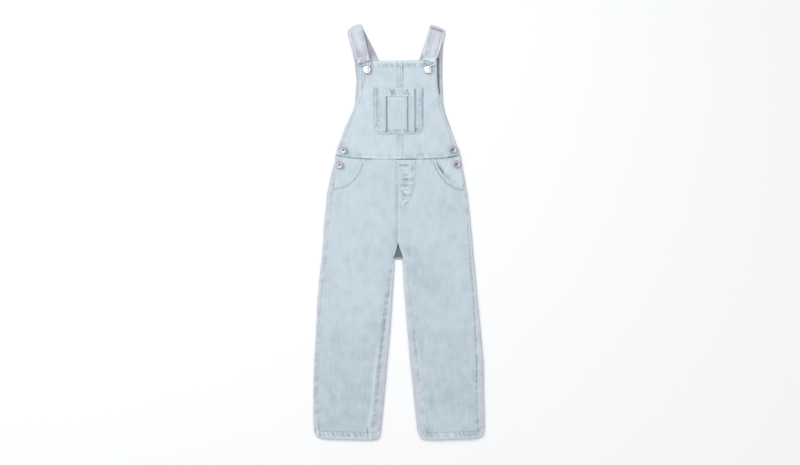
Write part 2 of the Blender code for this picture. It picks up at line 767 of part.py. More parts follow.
for place, (button_x, button_y) in SIDE_BUTTONS.items():
    outward = -1 if place.startswith("left") else 1
    if place.endswith("upper"):
        seat = on_bib(button_x, button_y) + HEM_WALL - WALL
    else:
        hip_side, turns = ("left", LEFT_TURN) if outward < 0 else ("right", RIGHT_TURN)
        turn = read(turns, button_y)
        seat = facing_under(button_x, button_y, hip_side, turn) + WALL + 2 * CLEAR
    button(f"side_button_{place}", button_x, button_y, seat, SIDE_SHANK, outward * SIDE_LEAN)
centre_on_origin(list(GARMENT.objects))
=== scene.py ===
import json
import math
from collections import namedtuple

import bpy
import numpy as np
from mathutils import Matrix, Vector
from mathutils.bvhtree import BVHTree

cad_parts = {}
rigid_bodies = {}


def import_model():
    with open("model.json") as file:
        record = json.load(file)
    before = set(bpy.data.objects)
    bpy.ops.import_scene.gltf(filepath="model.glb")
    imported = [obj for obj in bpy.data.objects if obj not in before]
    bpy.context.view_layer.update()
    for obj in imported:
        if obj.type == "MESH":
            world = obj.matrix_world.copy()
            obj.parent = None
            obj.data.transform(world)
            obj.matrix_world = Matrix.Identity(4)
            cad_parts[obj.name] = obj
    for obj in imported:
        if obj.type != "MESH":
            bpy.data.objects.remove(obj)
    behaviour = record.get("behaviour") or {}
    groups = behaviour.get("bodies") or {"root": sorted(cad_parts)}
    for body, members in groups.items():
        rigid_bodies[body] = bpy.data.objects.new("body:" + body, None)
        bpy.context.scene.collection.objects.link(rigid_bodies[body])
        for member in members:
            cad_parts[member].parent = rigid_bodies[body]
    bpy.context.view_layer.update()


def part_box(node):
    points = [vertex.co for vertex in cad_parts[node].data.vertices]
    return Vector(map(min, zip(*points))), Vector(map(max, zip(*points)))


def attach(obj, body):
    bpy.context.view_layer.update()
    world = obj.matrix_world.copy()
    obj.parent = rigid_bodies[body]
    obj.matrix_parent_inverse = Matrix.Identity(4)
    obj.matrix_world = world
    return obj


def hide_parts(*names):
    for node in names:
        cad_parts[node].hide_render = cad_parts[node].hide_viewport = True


# Kids' dungarees in pale stone-washed denim, laid flat on their back.
# Tables are in millimetres, X across, Y up the garment, Z up off the floor.
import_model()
mm = 0.001

# What the whole garment shares
garment = {
    "wall": 1.2,            # one layer of denim
    "hemWall": 2.0,
    "thinWall": 1.0,
    "strapWall": 1.4,
    "gap": 0.3,
    "edgeRadius": 2.3,      # where the back cloth turns over to the front
    "centre": -2.5,
    "waist": 158.8,
    "waistLift": 9.0,
    "waistHalf": 136.0,
    "bowCorner": 13,        # the higher, the sharper the corners of a hem
    "step": 2.2,            # size of one face of cloth
    "rim": 0.32,            # how far a cut or folded edge bulges, as a share of its wall
}
wall = garment["wall"]
gap = garment["gap"]
centre = garment["centre"]
waist = garment["waist"]

# y, left, right
bodyTable = np.array([
    (-58, -170, 163.5), (-22, -166.5, 161), (13, -165.5, 157.5), (48, -161.5, 154),
    (84, -158.5, 150), (101, -154.7, 146), (119, -151.5, 143.5), (136, -147, 139.5),
    (154, -141.5, 137), (168, -139, 133.5), (189, -133, 126.5), (207, -126.5, 121.5),
    (224, -121, 115), (242, -113, 106.5), (260, -104, 101.5), (277, -97.5, 98),
    (297, -95, 96), (334, -93.5, 95.3)])

# outer y, outer x, inner y, inner x, turn at the outer edge, turn at the inner edge, bow of the level
legTable = {
    "left": np.array([
        (-446, -184, -450, -42.5, 11, 17, 7.5), (-438.2, -187, -441, -40.5, 11, 17, 3),
        (-437.6, -187, -440, -40.3, 11, 17, 2.5), (-409, -188, -409, -37, 9, 16, 0),
        (-356, -188, -356, -32, 5, 15, 0), (-286, -186, -286, -26, 4, 15, 0),
        (-216, -182, -216, -19.5, 4, 12, 0), (-145, -179, -145, -15, 5, 8, 0),
        (-100, -175, -100, -12, 6, 6, 0), (-75, -172, -75, -10.8, 6, 4.5, 0),
        (-58, -170, -58, -10, 7, 2.6, 0)]),
    "right": np.array([
        (-445, 185, -450, 45, 13, 19, 8), (-434.2, 188, -441, 41.3, 13, 19, 4),
        (-433.6, 188, -440, 41.1, 13, 19, 3.5), (-409, 188, -409, 37, 14.5, 17, 0),
        (-356, 186.5, -356, 32, 14.5, 15.4, 0), (-286, 185.5, -286, 24.5, 13, 14.5, 0),
        (-216, 179, -216, 18.5, 10, 12, 0), (-145, 172, -145, 12.5, 7, 8, 0),
        (-100, 168, -100, 9.5, 6, 6, 0), (-75, 166, -75, 8, 6, 4.5, 0),
        (-58, 163.5, -58, 7, 5.5, 2.6, 0)]),
}
turnTable = {
    "left": [(-58, 7), (13, 8), (101, 9), (136, 4), (160, 3)],
    "right": [(-58, 5.5), (-22, 5), (48, 3.5), (101, 3), (160, 3)],
}
# outer y, outer x, inner y, inner x of the front panels above the crotch; None follows the seam
hipTable = {
    "left": [
        (-50, None, -50, -9.5), (-38, None, -38, -6), (-22, None, -22, None),
        (13, None, 13, None), (48, None, 48, None), (80, None, 80, None),
        (97, None, 98, None), (101, -145.3, 110, None), (103.5, -132, 119, None),
        (109, -115, 128, None), (121, -101, 137, None), (138, -89, 147, None),
        (160, -81, waist, None)],
    "right": [
        (-50, None, -50, 7), (-38, None, -38, 3), (-22, None, -22, None),
        (13, None, 13, None), (48, None, 48, None), (80, None, 80, None),
        (96, None, 97, None), (100, 142.2, 106, None), (103, 126, 115, None),
        (113, 108, 125, None), (128, 95, 136, None), (144, 85, 147, None),
        (160, 77, waist, None)],
}
facingReach = {
    "left": [(84, -112), (92, -100), (101, -90), (119, -77), (136, -69), (160, -62)],
    "right": [(84, 106), (92, 96), (101, 87), (119, 74), (136, 66), (160, 58)],
}
bibTable = np.array([
    (waist, -138, 132.5), (173, -135.8, 130.2), (189, -132, 125.5), (207, -125.5, 120.5),
    (224, -120, 114), (242, -112, 105.5), (260, -103, 99.5), (277, -96, 94.5),
    (297, -90, 88), (320, -87, 84.6), (345, -86, 83.4), (362, -86, 83.2), (375, -85.5, 83.6)])

# Soft folds of the legs: from, to, half width, depth
folds = [
    ((6, -60), (40, -215), 16, 0.7), ((-18, -130), (-36, -300), 14, 0.6),
    ((60, 120), (52, 40), 13, 0.5), ((-120, -320), (-60, -345), 16, 0.5),
    ((70, -330), (150, -352), 15, 0.5), ((-150, 60), (-95, 30), 15, 0.5),
]


def column(table, x, which):
    rows = np.asarray(table, float)
    return np.interp(x, rows[:, 0], rows[:, which])


def ease(t):
    t = np.clip(t, 0.0, 1.0)
    return t * t * (3 - 2 * t)


def noise(x, y, size, seed):
    # Smooth lattice noise from -1 to 1
    lattice = np.random.default_rng(seed).random((64, 64)) * 2 - 1
    u, v = np.asarray(x) / size + 700, np.asarray(y) / size + 700
    i, j = np.floor(u).astype(int), np.floor(v).astype(int)
    a, b = ease(u - i), ease(v - j)
    low = lattice[i % 64, j % 64] * (1 - a) + lattice[(i + 1) % 64, j % 64] * a
    high = lattice[i % 64, (j + 1) % 64] * (1 - a) + lattice[(i + 1) % 64, (j + 1) % 64] * a
    return low * (1 - b) + high * b


def waistY(x):
    return waist + garment["waistLift"] * np.abs(np.asarray(x) / garment["waistHalf"]) ** 3


def sideEdge(side, y):
    return column(bodyTable, y, 1 if side == "left" else 2)


def legEdges(side, y):
    table = legTable[side]
    return column(table, y, 1), np.interp(y, table[:, 0], table[:, 3])


def frontUnder(x, y):
    # Underside of the front cloth below the waist
    x, y = np.asarray(x, float), np.asarray(y, float)
    notch = np.where(y < 0, np.hypot(x - centre, y + 58), 99)
    hip = np.minimum(np.minimum(x - sideEdge("left", y), sideEdge("right", y) - x), notch)
    isLeft = x < centre
    outerL, innerL = legEdges("left", y)
    outerR, innerR = legEdges("right", y)
    outer, inner = np.where(isLeft, outerL, outerR), np.where(isLeft, innerL, innerR)
    leg = np.minimum(np.abs(x - outer), np.abs(x - inner))
    distance = np.where(y > -58, hip, leg)
    edge = 2 * garment["edgeRadius"] - wall
    plateau = np.interp(y, [-450, -60, 60, 160], [4.4, 4.6, 5.0, 5.0])
    sunk = sum(trough(fold, x, y) for fold in folds)
    return edge + (plateau - edge - sunk) * ease(distance / 40)


def trough(fold, x, y):
    (ax, ay), (bx, by), width, depth = fold
    length = math.hypot(bx - ax, by - ay)
    run = ((x - ax) * (bx - ax) + (y - ay) * (by - ay)) / length ** 2
    across = np.abs((x - ax) * (by - ay) - (y - ay) * (bx - ax)) / length / width
    inside = (run > 0) & (run < 1)
    return np.where(inside, depth * np.sin(math.pi * np.clip(run, 0, 1)) * (1 - ease(across)), 0)


def bibUnder(x, y):
    # The bib comes down onto the back towards its top
    low = wall + gap
    flat = low + (5.0 - low) * (1 - ease((y - waist) / 190))
    edge = low + (2 * garment["edgeRadius"] - wall - low) * (1 - ease((y - waist) / 55))
    inset = np.minimum(x - column(bibTable, y, 1), column(bibTable, y, 2) - x)
    return edge + (flat - edge) * ease(inset / 36)


# A line pressed in or standing up: path, half width, height, tone (paler above 0, bluer below). The tone is painted
# shade along pressed-in lines and painted highlight along raised ones, besides the real fading of rubbed edges
Line = namedtuple("Line", "path width height tone")
# Puckers along a seam: path, reach to each side, spacing, height, tone, lean along the seam, seed. The tone follows
# the puckers: paler on their ridges and darker in their hollows, partly real fading and partly painted highlight and
# painted shade
Rope = namedtuple("Rope", "path reach every height tone lean seed")


def alongPath(x, y, path):
    # Signed distance to a path and the run along it
    best = np.full(np.shape(x), 1e9)
    run = np.zeros(np.shape(x))
    sign = np.ones(np.shape(x))
    start = 0.0
    for (ax, ay), (bx, by) in zip(path[:-1], path[1:]):
        length = math.hypot(bx - ax, by - ay)
        t = np.clip(((x - ax) * (bx - ax) + (y - ay) * (by - ay)) / length ** 2, 0, 1)
        away = np.hypot(x - ax - t * (bx - ax), y - ay - t * (by - ay))
        nearer = away < best
        best = np.where(nearer, away, best)
        run = np.where(nearer, start + t * length, run)
        turn = (bx - ax) * (y - ay) - (by - ay) * (x - ax)
        sign = np.where(nearer, np.sign(turn), sign)
        start += length
    return best, sign, run


def relief(features, x, y):
    # Height in millimetres and wash of all the features together: real fading with painted shade and painted
    # highlight
    height, wash = np.zeros(np.shape(x)), np.zeros(np.shape(x))
    for feature in features:
        away, sign, run = alongPath(x, y, feature.path)
        if isinstance(feature, Line):
            near = np.exp(-(away / feature.width) ** 2)
            height += feature.height * near
            wash += feature.tone * near
            continue
        near = np.exp(-(away / feature.reach) ** 2)
        wave = noise(run + feature.lean * away * sign, 0 * run, feature.every / 2, feature.seed)
        wave = np.clip(wave * 1.5, -1, 1)
        height += feature.height * near * wave
        wash += feature.tone * near * wave
    return height, wash


def softness(x, y, seed):
    # The unevenness of washed cloth that isn't pressed
    broad = noise(x, y, 46, seed) * 0.22 + noise(x, y, 19, seed + 1) * 0.10
    fine = noise(x, y, 7, seed + 2) * 0.05
    wash = noise(x, y, 60, seed + 3) * 0.035 + noise(x, y, 12, seed + 4) * 0.03
    return broad + fine, wash + noise(x * 2.4, y * 0.5, 9, seed + 5) * 0.03


def linear(code):
    # An sRGB hex value as the linear colour that a shader takes
    parts = [int(code[i:i + 2], 16) / 255 for i in (1, 3, 5)]
    return [c / 12.92 if c <= 0.04045 else ((c + 0.055) / 1.055) ** 2.4 for c in parts] + [1.0]


def addNode(tree, kind, settings, inputs):
    # One node with its settings; an input is a value, or (node, output) for a link
    node = tree.nodes.new(kind)
    for name, value in settings.items():
        setattr(node, name, value)
    for name, value in inputs.items():
        if isinstance(value, tuple) and isinstance(value[0], bpy.types.Node):
            tree.links.new(value[0].outputs[value[1]], node.inputs[name])
        else:
            node.inputs[name].default_value = value
    return node


def setColours(ramp, stops):
    while len(ramp.elements) < len(stops):
        ramp.elements.new(0.5)
    for element, (place, code) in zip(ramp.elements, stops):
        element.position = place
        element.color = linear(code)


def denim(look):
    # Stone-washed cotton twill: matt, paler where it is rubbed, bluer down in its puckers. Its wash attribute holds
    # the real fading together with painted shade in creases, seams, gaps and recesses and painted highlight on
    # ridges and edges
    material = bpy.data.materials.new(look["name"])
    material.use_nodes = True
    tree = material.node_tree
    shader = tree.nodes["Principled BSDF"]
    shader.inputs["Roughness"].default_value = 0.92
    shader.inputs["Specular IOR Level"].default_value = 0.25
    shader.inputs["Sheen Weight"].default_value = 0.12
    shader.inputs["Sheen Roughness"].default_value = 0.6
    place = addNode(tree, "ShaderNodeTexCoord", {}, {})
    wash = addNode(tree, "ShaderNodeAttribute", {"attribute_name": "wash"}, {})
    # the warp's slubs: threads about 1 mm thick, paler for 20 to 30 mm of their length
    slubPlace = addNode(tree, "ShaderNodeMapping", {}, {"Vector": (place, "Object"), "Scale": (1, 0.06, 1),
                                                       "Rotation": (0, 0, look["grain"])})
    slubs = addNode(tree, "ShaderNodeTexNoise", {}, {"Vector": (slubPlace, "Vector"),
                                                    "Scale": 520.0, "Detail": 2.0})
    # cloudy fading left by the stones, 15 to 40 mm across
    clouds = addNode(tree, "ShaderNodeTexNoise", {}, {"Vector": (place, "Object"), "Scale": 42.0,
                                                     "Detail": 3.0, "Roughness": 0.55})
    # twill lines are 0.7 mm apart; drawn 1.5 mm apart, so that they show
    twillPlace = addNode(tree, "ShaderNodeMapping", {}, {"Vector": (place, "Object"),
                                                        "Rotation": (0, 0, look["grain"] + 0.52)})
    twill = addNode(tree, "ShaderNodeTexWave", {"wave_type": "BANDS", "bands_direction": "X"},
                    {"Vector": (twillPlace, "Vector"), "Scale": 209.0, "Distortion": 0.6,
                     "Detail": 1.0, "Detail Scale": 3.0})
    a = addNode(tree, "ShaderNodeMath", {"operation": "MULTIPLY_ADD"},
                {0: (slubs, "Fac"), 1: look["slubs"], 2: (wash, "Fac")})
    b = addNode(tree, "ShaderNodeMath", {"operation": "MULTIPLY_ADD"},
                {0: (clouds, "Fac"), 1: 0.22, 2: (a, 0)})
    c = addNode(tree, "ShaderNodeMath", {"operation": "MULTIPLY_ADD"},
                {0: (twill, "Fac"), 1: 0.07, 2: (b, 0)})
    # the three patterns together add their own middle, which is taken off again
    d = addNode(tree, "ShaderNodeMath", {"operation": "SUBTRACT"},
                {0: (c, 0), 1: look["slubs"] / 2 + 0.145 - 0.5})
    colour = addNode(tree, "ShaderNodeValToRGB", {}, {"Fac": (d, 0)})
    # deep is the colour that painted shade takes the cloth to; worn the one that rubbed wear and painted highlight
    # take it to
    setColours(colour.color_ramp, [(0.0, look["deep"]), (0.28, look["blue"]), (0.5, look["base"]),
                                   (0.8, look["pale"]), (1.0, look["worn"])])
    tree.links.new(colour.outputs["Color"], shader.inputs["Base Color"])
    grit = addNode(tree, "ShaderNodeTexNoise", {}, {"Vector": (place, "Object"), "Scale": 900.0,
                                                   "Detail": 2.0})
    weave = addNode(tree, "ShaderNodeMath", {"operation": "MULTIPLY_ADD"},
                    {0: (grit, "Fac"), 1: 0.8, 2: (twill, "Fac")})
    bump = addNode(tree, "ShaderNodeBump", {}, {"Height": (weave, 0), "Strength": 0.55,
                                               "Distance": 0.0003})
    tree.links.new(bump.outputs["Normal"], shader.inputs["Normal"])
    return material


looks = {
    "bib": {"name": "stonewashedDenimBib", "grain": 0.0, "slubs": 0.14, "deep": "#6f818d",
            "blue": "#a7b6c1", "base": "#c1cfd8", "pale": "#d6e0e6", "worn": "#ecf0f2"},
    "leg": {"name": "stonewashedDenimLegs", "grain": 0.0, "slubs": 0.13, "deep": "#5c6d79",
            "blue": "#a0b0bb", "base": "#bdcbd4", "pale": "#d3dde4", "worn": "#ebeff1"},
    # the back's cloth is darker and greyer than the front's: painted shade for the back layer, which shows only
    # beside the straps and the bib
    "back": {"name": "stonewashedDenimBack", "grain": 0.0, "slubs": 0.22, "deep": "#66747e",
             "blue": "#9da1ac", "base": "#b9bdc8", "pale": "#d0d3db", "worn": "#e6e8ec"},
    "turned": {"name": "stonewashedDenimTurnedEdges", "grain": 0.0, "slubs": 0.14, "deep": "#66717c",
               "blue": "#a8aeb9", "base": "#c1c8d1", "pale": "#d6dbe2", "worn": "#ebedf0"},
    "strapLeft": {"name": "streakyDenimLeftStrap", "grain": -0.30, "slubs": 0.5, "deep": "#8a929c",
                  "blue": "#b2b2c0", "base": "#c6cbd5", "pale": "#d8e1e7", "worn": "#eef0f3"},
    "strapRight": {"name": "streakyDenimRightStrap", "grain": 0.24, "slubs": 0.5, "deep": "#87919b",
                   "blue": "#b0b2c0", "base": "#c4cad4", "pale": "#d6dfe6", "worn": "#ecf0f3"},
}
denims = {name: denim(look) for name, look in looks.items()}
print("denim mixed")


def patch(points):
    # Quads of a grid of points, facing up where x grows along a row and y from row to row
    rows, columns = points.shape[:2]
    index = np.arange(rows * columns).reshape(rows, columns)
    quads = np.stack([index[:-1, :-1], index[:-1, 1:], index[1:, 1:], index[1:, :-1]], -1)
    return points.reshape(-1, 3), quads.reshape(-1, 4)


def normalsOf(points, quads):
    across = points[quads[:, 2]] - points[quads[:, 0]]
    other = points[quads[:, 3]] - points[quads[:, 1]]
    faceNormals = np.cross(across, other)
    summed = np.zeros_like(points)
    for corner in range(4):
        np.add.at(summed, quads[:, corner], faceNormals)
    return summed / np.maximum(np.linalg.norm(summed, axis=1, keepdims=True), 1e-12)


def cloth(name, surfaces, material, node=None):
    # One closed piece of cloth; each surface is (points, wall, wash), its wall on the side it faces; wash is fading
    # with painted shade and painted highlight
    verts, faces, washAndShadeValues = [], [], []
    base = 0
    for points, walls, wash in surfaces:
        shape = points.shape[:2]
        co, quads = patch(points)
        thick = np.broadcast_to(walls, shape).reshape(-1)
        tone = np.broadcast_to(wash, shape).reshape(-1)
        normals = normalsOf(co, quads)
        over = co + normals * thick[:, None]
        count = len(co)
        start = np.concatenate([quads[:, k] for k in range(4)])
        end = np.concatenate([quads[:, (k + 1) % 4] for k in range(4)])
        forward = start.astype(np.int64) * count + end
        backward = end.astype(np.int64) * count + start
        rim = ~np.isin(forward, backward)
        a, b = start[rim], end[rim]
        out = np.cross(co[b] - co[a], normals[a])
        outward = np.zeros_like(co)
        np.add.at(outward, a, out)
        np.add.at(outward, b, out)
        edge = np.unique(a)
        length = np.maximum(np.linalg.norm(outward[edge], axis=1, keepdims=True), 1e-12)
        middle = (co[edge] + over[edge]) / 2
        middle += outward[edge] / length * thick[edge][:, None] * garment["rim"]
        midOf = np.full(count, -1)
        midOf[edge] = np.arange(len(edge)) + 2 * count
        verts += [co, over, middle]
        # the mid ring of each cut or folded edge is 0.06 paler: partly the fading of a rubbed edge and partly
        # painted highlight
        washAndShadeValues += [tone, tone, tone[edge] + 0.06]
        upper = np.stack([b + count, a + count, midOf[a], midOf[b]], -1)
        lower = np.stack([midOf[b], midOf[a], a, b], -1)
        faces.append(np.concatenate([quads[:, ::-1], quads + count, upper, lower]) + base)
        base += 2 * count + len(edge)
    mesh = bpy.data.meshes.new(name)
    mesh.from_pydata((np.concatenate(verts) * mm).tolist(), [], np.concatenate(faces).tolist())
    mesh.attributes.new("wash", "FLOAT", "POINT").data.foreach_set(
        "value", np.concatenate(washAndShadeValues).astype(np.float32))
    mesh.materials.append(material)
    mesh.shade_smooth()
    mesh.update()
    piece = bpy.data.objects.new(name, mesh)
    bpy.context.scene.collection.objects.link(piece)
    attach(piece, "root")
    if node:
        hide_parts(node)
    return piece


def spreadRows(table, step, ys):
    # Rows of a table filled in so that none is further than step from the next, by column ys
    table = np.asarray(table, float)
    made = []
    for low, high in zip(table[:-1], table[1:]):
        count = max(1, int(math.ceil(np.abs(high[ys] - low[ys]).max() / step)))
        made += [low + (high - low) * k / count for k in range(count)]
    return np.array(made + [table[-1]])


def bowed(row, x):
    # Level up the garment at x on one row of a leg, with the hem's bow
    share = np.clip((x - row[1]) / (row[3] - row[1]), 0, 1)
    level = row[0] + (row[2] - row[0]) * share
    return level - row[6] * (1 - np.abs(2 * share - 1) ** garment["bowCorner"])


legLook = {
    "hemRope": 5.2, "hemRopeHeight": 0.35, "hemRopeTone": 0.20,
    "seamRope": 9.0, "seamRopeHeight": 0.22, "seamRopeTone": 0.10,
}


def seamPath(side, edgeOf):
    # The seam on the front where the back cloth ends, from the hem up
    table, inward = legTable[side], 1 if side == "left" else -1
    if edgeOf == "inner":
        return [(row[3] - inward * row[5], row[2]) for row in table]
    low = [(row[1] + inward * row[4], row[0]) for row in table]
    hips = [(sideEdge(side, y) + inward * column(turnTable[side], y, 1), y) for y in range(-40, 121, 20)]
    return low + [(float(x), y) for x, y in hips]


def hemPath(side, lift):
    row = legTable[side][0]
    return [(x, float(bowed(row, x)) + lift) for x in np.linspace(row[1], row[3], 14)]


scoop = {}
for side in ("left", "right"):
    rows = [row for row in hipTable[side] if row[1] is not None]
    scoop[side] = [(row[1], row[0]) for row in rows]
scoop["left"].insert(0, (-147.5, 100.2))
scoop["right"].insert(0, (142.8, 99.8))

# Tones of the legs' lines: the dark ones are painted shade in creases, along seams, above the hems and beside the
# pocket edges; the pale ones are painted highlight on ridges, together with the real fading of rolled hem and pocket
# edges
legFeatures = {"left": [], "right": []}
for side, seed in (("left", 11), ("right", 31)):
    below = [(x * 0.985, y - 6.5) for x, y in scoop[side]]
    legFeatures[side] += [
        Line(below, 1.5, -0.15, -0.12),
        Line([(x, y - 3.0) for x, y in below], 1.5, -0.15, -0.08),
        Rope(hemPath(side, 9.5), 4.6, legLook["hemRope"], legLook["hemRopeHeight"],
             legLook["hemRopeTone"], 0.5, seed),
        Line(hemPath(side, 15.8), 1.3, -0.3, -0.12),
        Line(hemPath(side, 1.5), 1.8, 0.15, 0.22),
        Rope(seamPath(side, "inner"), 5.5, legLook["seamRope"], legLook["seamRopeHeight"],
             legLook["seamRopeTone"], 0.4, seed + 1),
        Rope(seamPath(side, "outer"), 5.0, legLook["seamRope"], legLook["seamRopeHeight"],
             legLook["seamRopeTone"], 0.4, seed + 2),
        Rope(scoop[side], 5.0, 8.0, 0.2, 0.10, 0.2, seed + 3),
        Line(scoop[side], 1.4, 0.1, 0.20),
        Rope([(-150, waistY(150)), (-80, waistY(80)), (0, waist), (80, waistY(80)), (140, waistY(140))],
             6.0, 11.0, 0.25, 0.12, 0.2, seed + 4),
    ]
legFeatures["left"] += [
    Line([(-45, -251), (-52.8, -304), (-57.2, -370), (-62.7, -402), (-69.3, -431)], 3.2, 0.35, 0.16),
    Line([(-39.6, -292.6), (-41.8, -321), (-45.1, -370), (-51.7, -413), (-53.9, -446)], 1.4, -0.2, -0.12),
    # the inner edge falls away into its own shadow below the thigh
    Line([(-24, -140), (-31, -195), (-36, -250), (-41, -330)], 7.5, -0.3, -0.13),
    Rope([(-26, -140), (-33, -200), (-38, -260), (-43, -340)], 6.0, 8.0, 0.2, 0.07, 0.5, 17),
    Line([(-69.3, -427), (-69.0, -453)], 1.5, -0.4, -0.36),
    Line([(-60.5, -436), (-60.5, -448)], 4.0, 0.15, 0.12),
    Line([(-177.5, -415), (-177.3, -436)], 1.6, -0.3, -0.35),
    Line([(-5.5, 155), (-5.5, -20)], 1.3, -0.25, -0.12),
    Line([(-9, -8), (-14, -120), (-24, -250), (-33, -340)], 11.0, -0.1, -0.07),
]
legFeatures["right"] += [
    Line([(28.6, -215), (35.2, -248), (41.8, -347), (49.5, -424)], 1.6, -0.25, -0.24),
    Line([(37, -230), (46, -300), (52, -370), (58, -430)], 4.0, 0.25, 0.12),
    Line([(174.5, -358), (174.5, -436)], 1.4, -0.25, -0.26),
    Line([(167, -178), (169.4, -255), (172, -343)], 1.5, -0.2, -0.2),
    Line([(156, -4), (156.5, -79), (165, -150)], 1.5, -0.15, -0.14),
    Line([(-0.2, 155), (-0.2, -20)], 1.3, 0.2, 0.05),
    Line([(17, -18), (45, -90), (95, -150)], 20.0, -0.2, -0.06),
    Line([(18, -40), (38, -150), (46, -260)], 12.0, -0.1, -0.05),
]


def legRelief(side, x, y):
    height, wash = relief(legFeatures[side], x, y)
    soft, stain = softness(x, y, 3 if side == "left" else 23)
    flatten = ease((np.abs(y - 60) + np.abs(x - centre - 15) - 40) / 60) * 0.5 + 0.5
    return height + soft * flatten, wash + stain - 0.06 * ease((-y - 110) / 260)


def gape(x, y):
    # The right pocket edge stands away from the hip under it
    return 2.0 * np.exp(-((x - 91) ** 2 + (y - 135) ** 2) / (2 * 11.0 ** 2))


def frontLeg(side):
    inward = 1 if side == "left" else -1
    step = garment["step"]
    columns = int(165 / step)
    shares = np.linspace(0, 1, columns)
    xs, ys, walls = [], [], []
    legRows = spreadRows(legTable[side], step, [0, 2])
    hemRows = len(spreadRows(legTable[side][:2], step, [0, 2]))
    for index, row in enumerate(legRows):
        outer = row[1] + inward * (row[4] + gap)
        inner = row[3] - inward * (row[5] + gap)
        x = outer + (inner - outer) * shares
        xs.append(x)
        ys.append(bowed(row, x))
        walls.append(np.full(columns, garment["hemWall"] if index < hemRows else wall))
    table = hipTable[side]
    for low, high in zip(table[:-1], table[1:]):
        count = max(1, int(math.ceil(max(high[0] - low[0], high[2] - low[2]) / step)))
        for k in range(count + (high is table[-1])):
            t = k / count
            outerY, innerY = low[0] + (high[0] - low[0]) * t, low[2] + (high[2] - low[2]) * t
            free = sideEdge(side, outerY) + inward * (column(turnTable[side], outerY, 1) + gap)
            ends = [free if row[1] is None else row[1] for row in (low, high)]
            outer = ends[0] + (ends[1] - ends[0]) * t
            seam = centre - inward * gap / 2
            ends = [seam if row[3] is None else row[3] for row in (low, high)]
            inner = ends[0] + (ends[1] - ends[0]) * t
            x = outer + (inner - outer) * shares
            y = outerY + (innerY - outerY) * shares
            top = ease((t if high is table[-1] else 0))
            ys.append(y + (waistY(x) - gap / 2 - y) * top)
            xs.append(x)
            walls.append(np.full(columns, wall))
    x, y, walls = np.array(xs), np.array(ys), np.array(walls)
    z = frontUnder(x, y) + (gape(x, y) if side == "right" else 0)
    height, wash = legRelief(side, x, y)
    points = np.stack([x, y, z], -1)
    if side == "right":
        points, walls, height, wash = points[:, ::-1], walls[:, ::-1], height[:, ::-1], wash[:, ::-1]
    return cloth("denimFrontLeg" + side.title(), [(points, walls + np.maximum(height, -0.6), wash)],
                 denims["leg"], "front_leg_" + side)


def turned(edge, turn, inward, columns, low=0.0):
    # Section of the cloth turned over at an edge, from its seam on top to the flat below
    radius = garment["edgeRadius"] - low / 2
    flat = [edge + inward * (turn + (radius - turn) * k / columns) for k in range(columns)]
    section = [(x, 2 * garment["edgeRadius"]) for x in flat]
    for degrees in range(90, -91, -18):
        angle = math.radians(degrees)
        section.append((edge + inward * (radius - radius * math.cos(angle)),
                        low + radius + radius * math.sin(angle)))
    return section


def backLeg(side):
    inward = 1 if side == "left" else -1
    step = garment["step"] * 1.5
    seam = centre - inward * gap / 2
    fine = spreadRows(legTable[side], step, [0, 2])
    hemRows = len(spreadRows(legTable[side][:2], step, [0, 2]))
    hips = [(-56.0, None)] + [(y, None) for y in np.arange(-53, waist - 1, 3.2)] + [(waist, None)]
    plate, walls, inside, insideWalls = [], [], [], []
    for index, row in enumerate([*fine, *hips]):
        isHip = index >= len(fine)
        y = row[0]
        outerX = float(sideEdge(side, y)) if isHip else row[1]
        turn = float(column(turnTable[side], y, 1)) if isHip else row[4]
        inner = seam if isHip else row[3] - inward * garment["edgeRadius"]
        section = turned(outerX, turn, inward, 5)
        flat = np.linspace(section[-1][0], inner, 22)[1:]
        section += [(x, 0.0) for x in flat]
        level = [float(waistY(x)) - gap / 2 if y == waist else (y if isHip else float(bowed(row, x)))
                 for x, _ in section]
        thick = garment["hemWall"] if index < hemRows else wall
        plate.append([(x, v, z) for (x, z), v in zip(section, level)])
        walls.append([thick] * len(section))
        if not isHip:
            section = turned(row[3], row[5], -inward, 6)
            section.append((inner, 0.0))
            inside.append([(x, float(bowed(row, x)), z) for x, z in section])
            insideWalls.append([thick] * len(section))
    surfaces = []
    for grid, thick, flip in ((plate, walls, side == "right"), (inside, insideWalls, side == "left")):
        points, thick = np.array(grid), np.array(thick)
        if flip:
            points, thick = points[:, ::-1], thick[:, ::-1]
        height, wash = relief(legFeatures[side][2:7], points[..., 0], points[..., 1])
        soft, stain = softness(points[..., 0], points[..., 1], 43)
        upper = points[..., 2] > garment["edgeRadius"]
        points[..., 2] += np.where(upper, np.clip(height, -0.5, 0.5), 0)
        tone = np.where(upper, wash * 0.9 + stain + 0.02 - 0.05 * ease((-points[..., 1] - 110) / 260), stain)
        surfaces.append((points, thick, tone))
    surfaces.append(forkHalf(side, inward, seam))
    return cloth("denimBackLeg" + side.title(), surfaces, denims["turned"], "back_leg_" + side)


def forkHalf(side, inward, seam):
    # Half of the back fork: folded up at the crotch and run up under the end of the rise. Its tone is painted shade:
    # dark in the crotch recess, paler towards the fold at its lower edge
    top, fold = wall * 2 + gap, -60.3
    radius = (top - 0.05) / 2
    table = [(y, reach, top) for y, reach in zip(np.linspace(-25.5, fold + radius, 14),
                                                 np.linspace(2.6, 10.8, 14))]
    for degrees in (60, 30, 0, -30, -60, -90):
        angle = math.radians(degrees)
        table.append((fold + radius - radius * math.cos(angle), 10.8,
                      0.05 + radius + radius * math.sin(angle)))
    table.append((-53.5, 10.8, 0.05))
    rows = [[(x, y, z) for x in np.linspace(seam - inward * reach, seam, 7)] for y, reach, z in table]
    points = np.array(rows)
    if side == "right":
        points = points[:, ::-1]
    tone = -0.66 + 0.42 * ease((-52 - points[..., 1]) / 6)
    tone = tone + 0.12 * noise(points[..., 0], points[..., 1], 2.5, 47)
    return points, wall - 0.1, tone


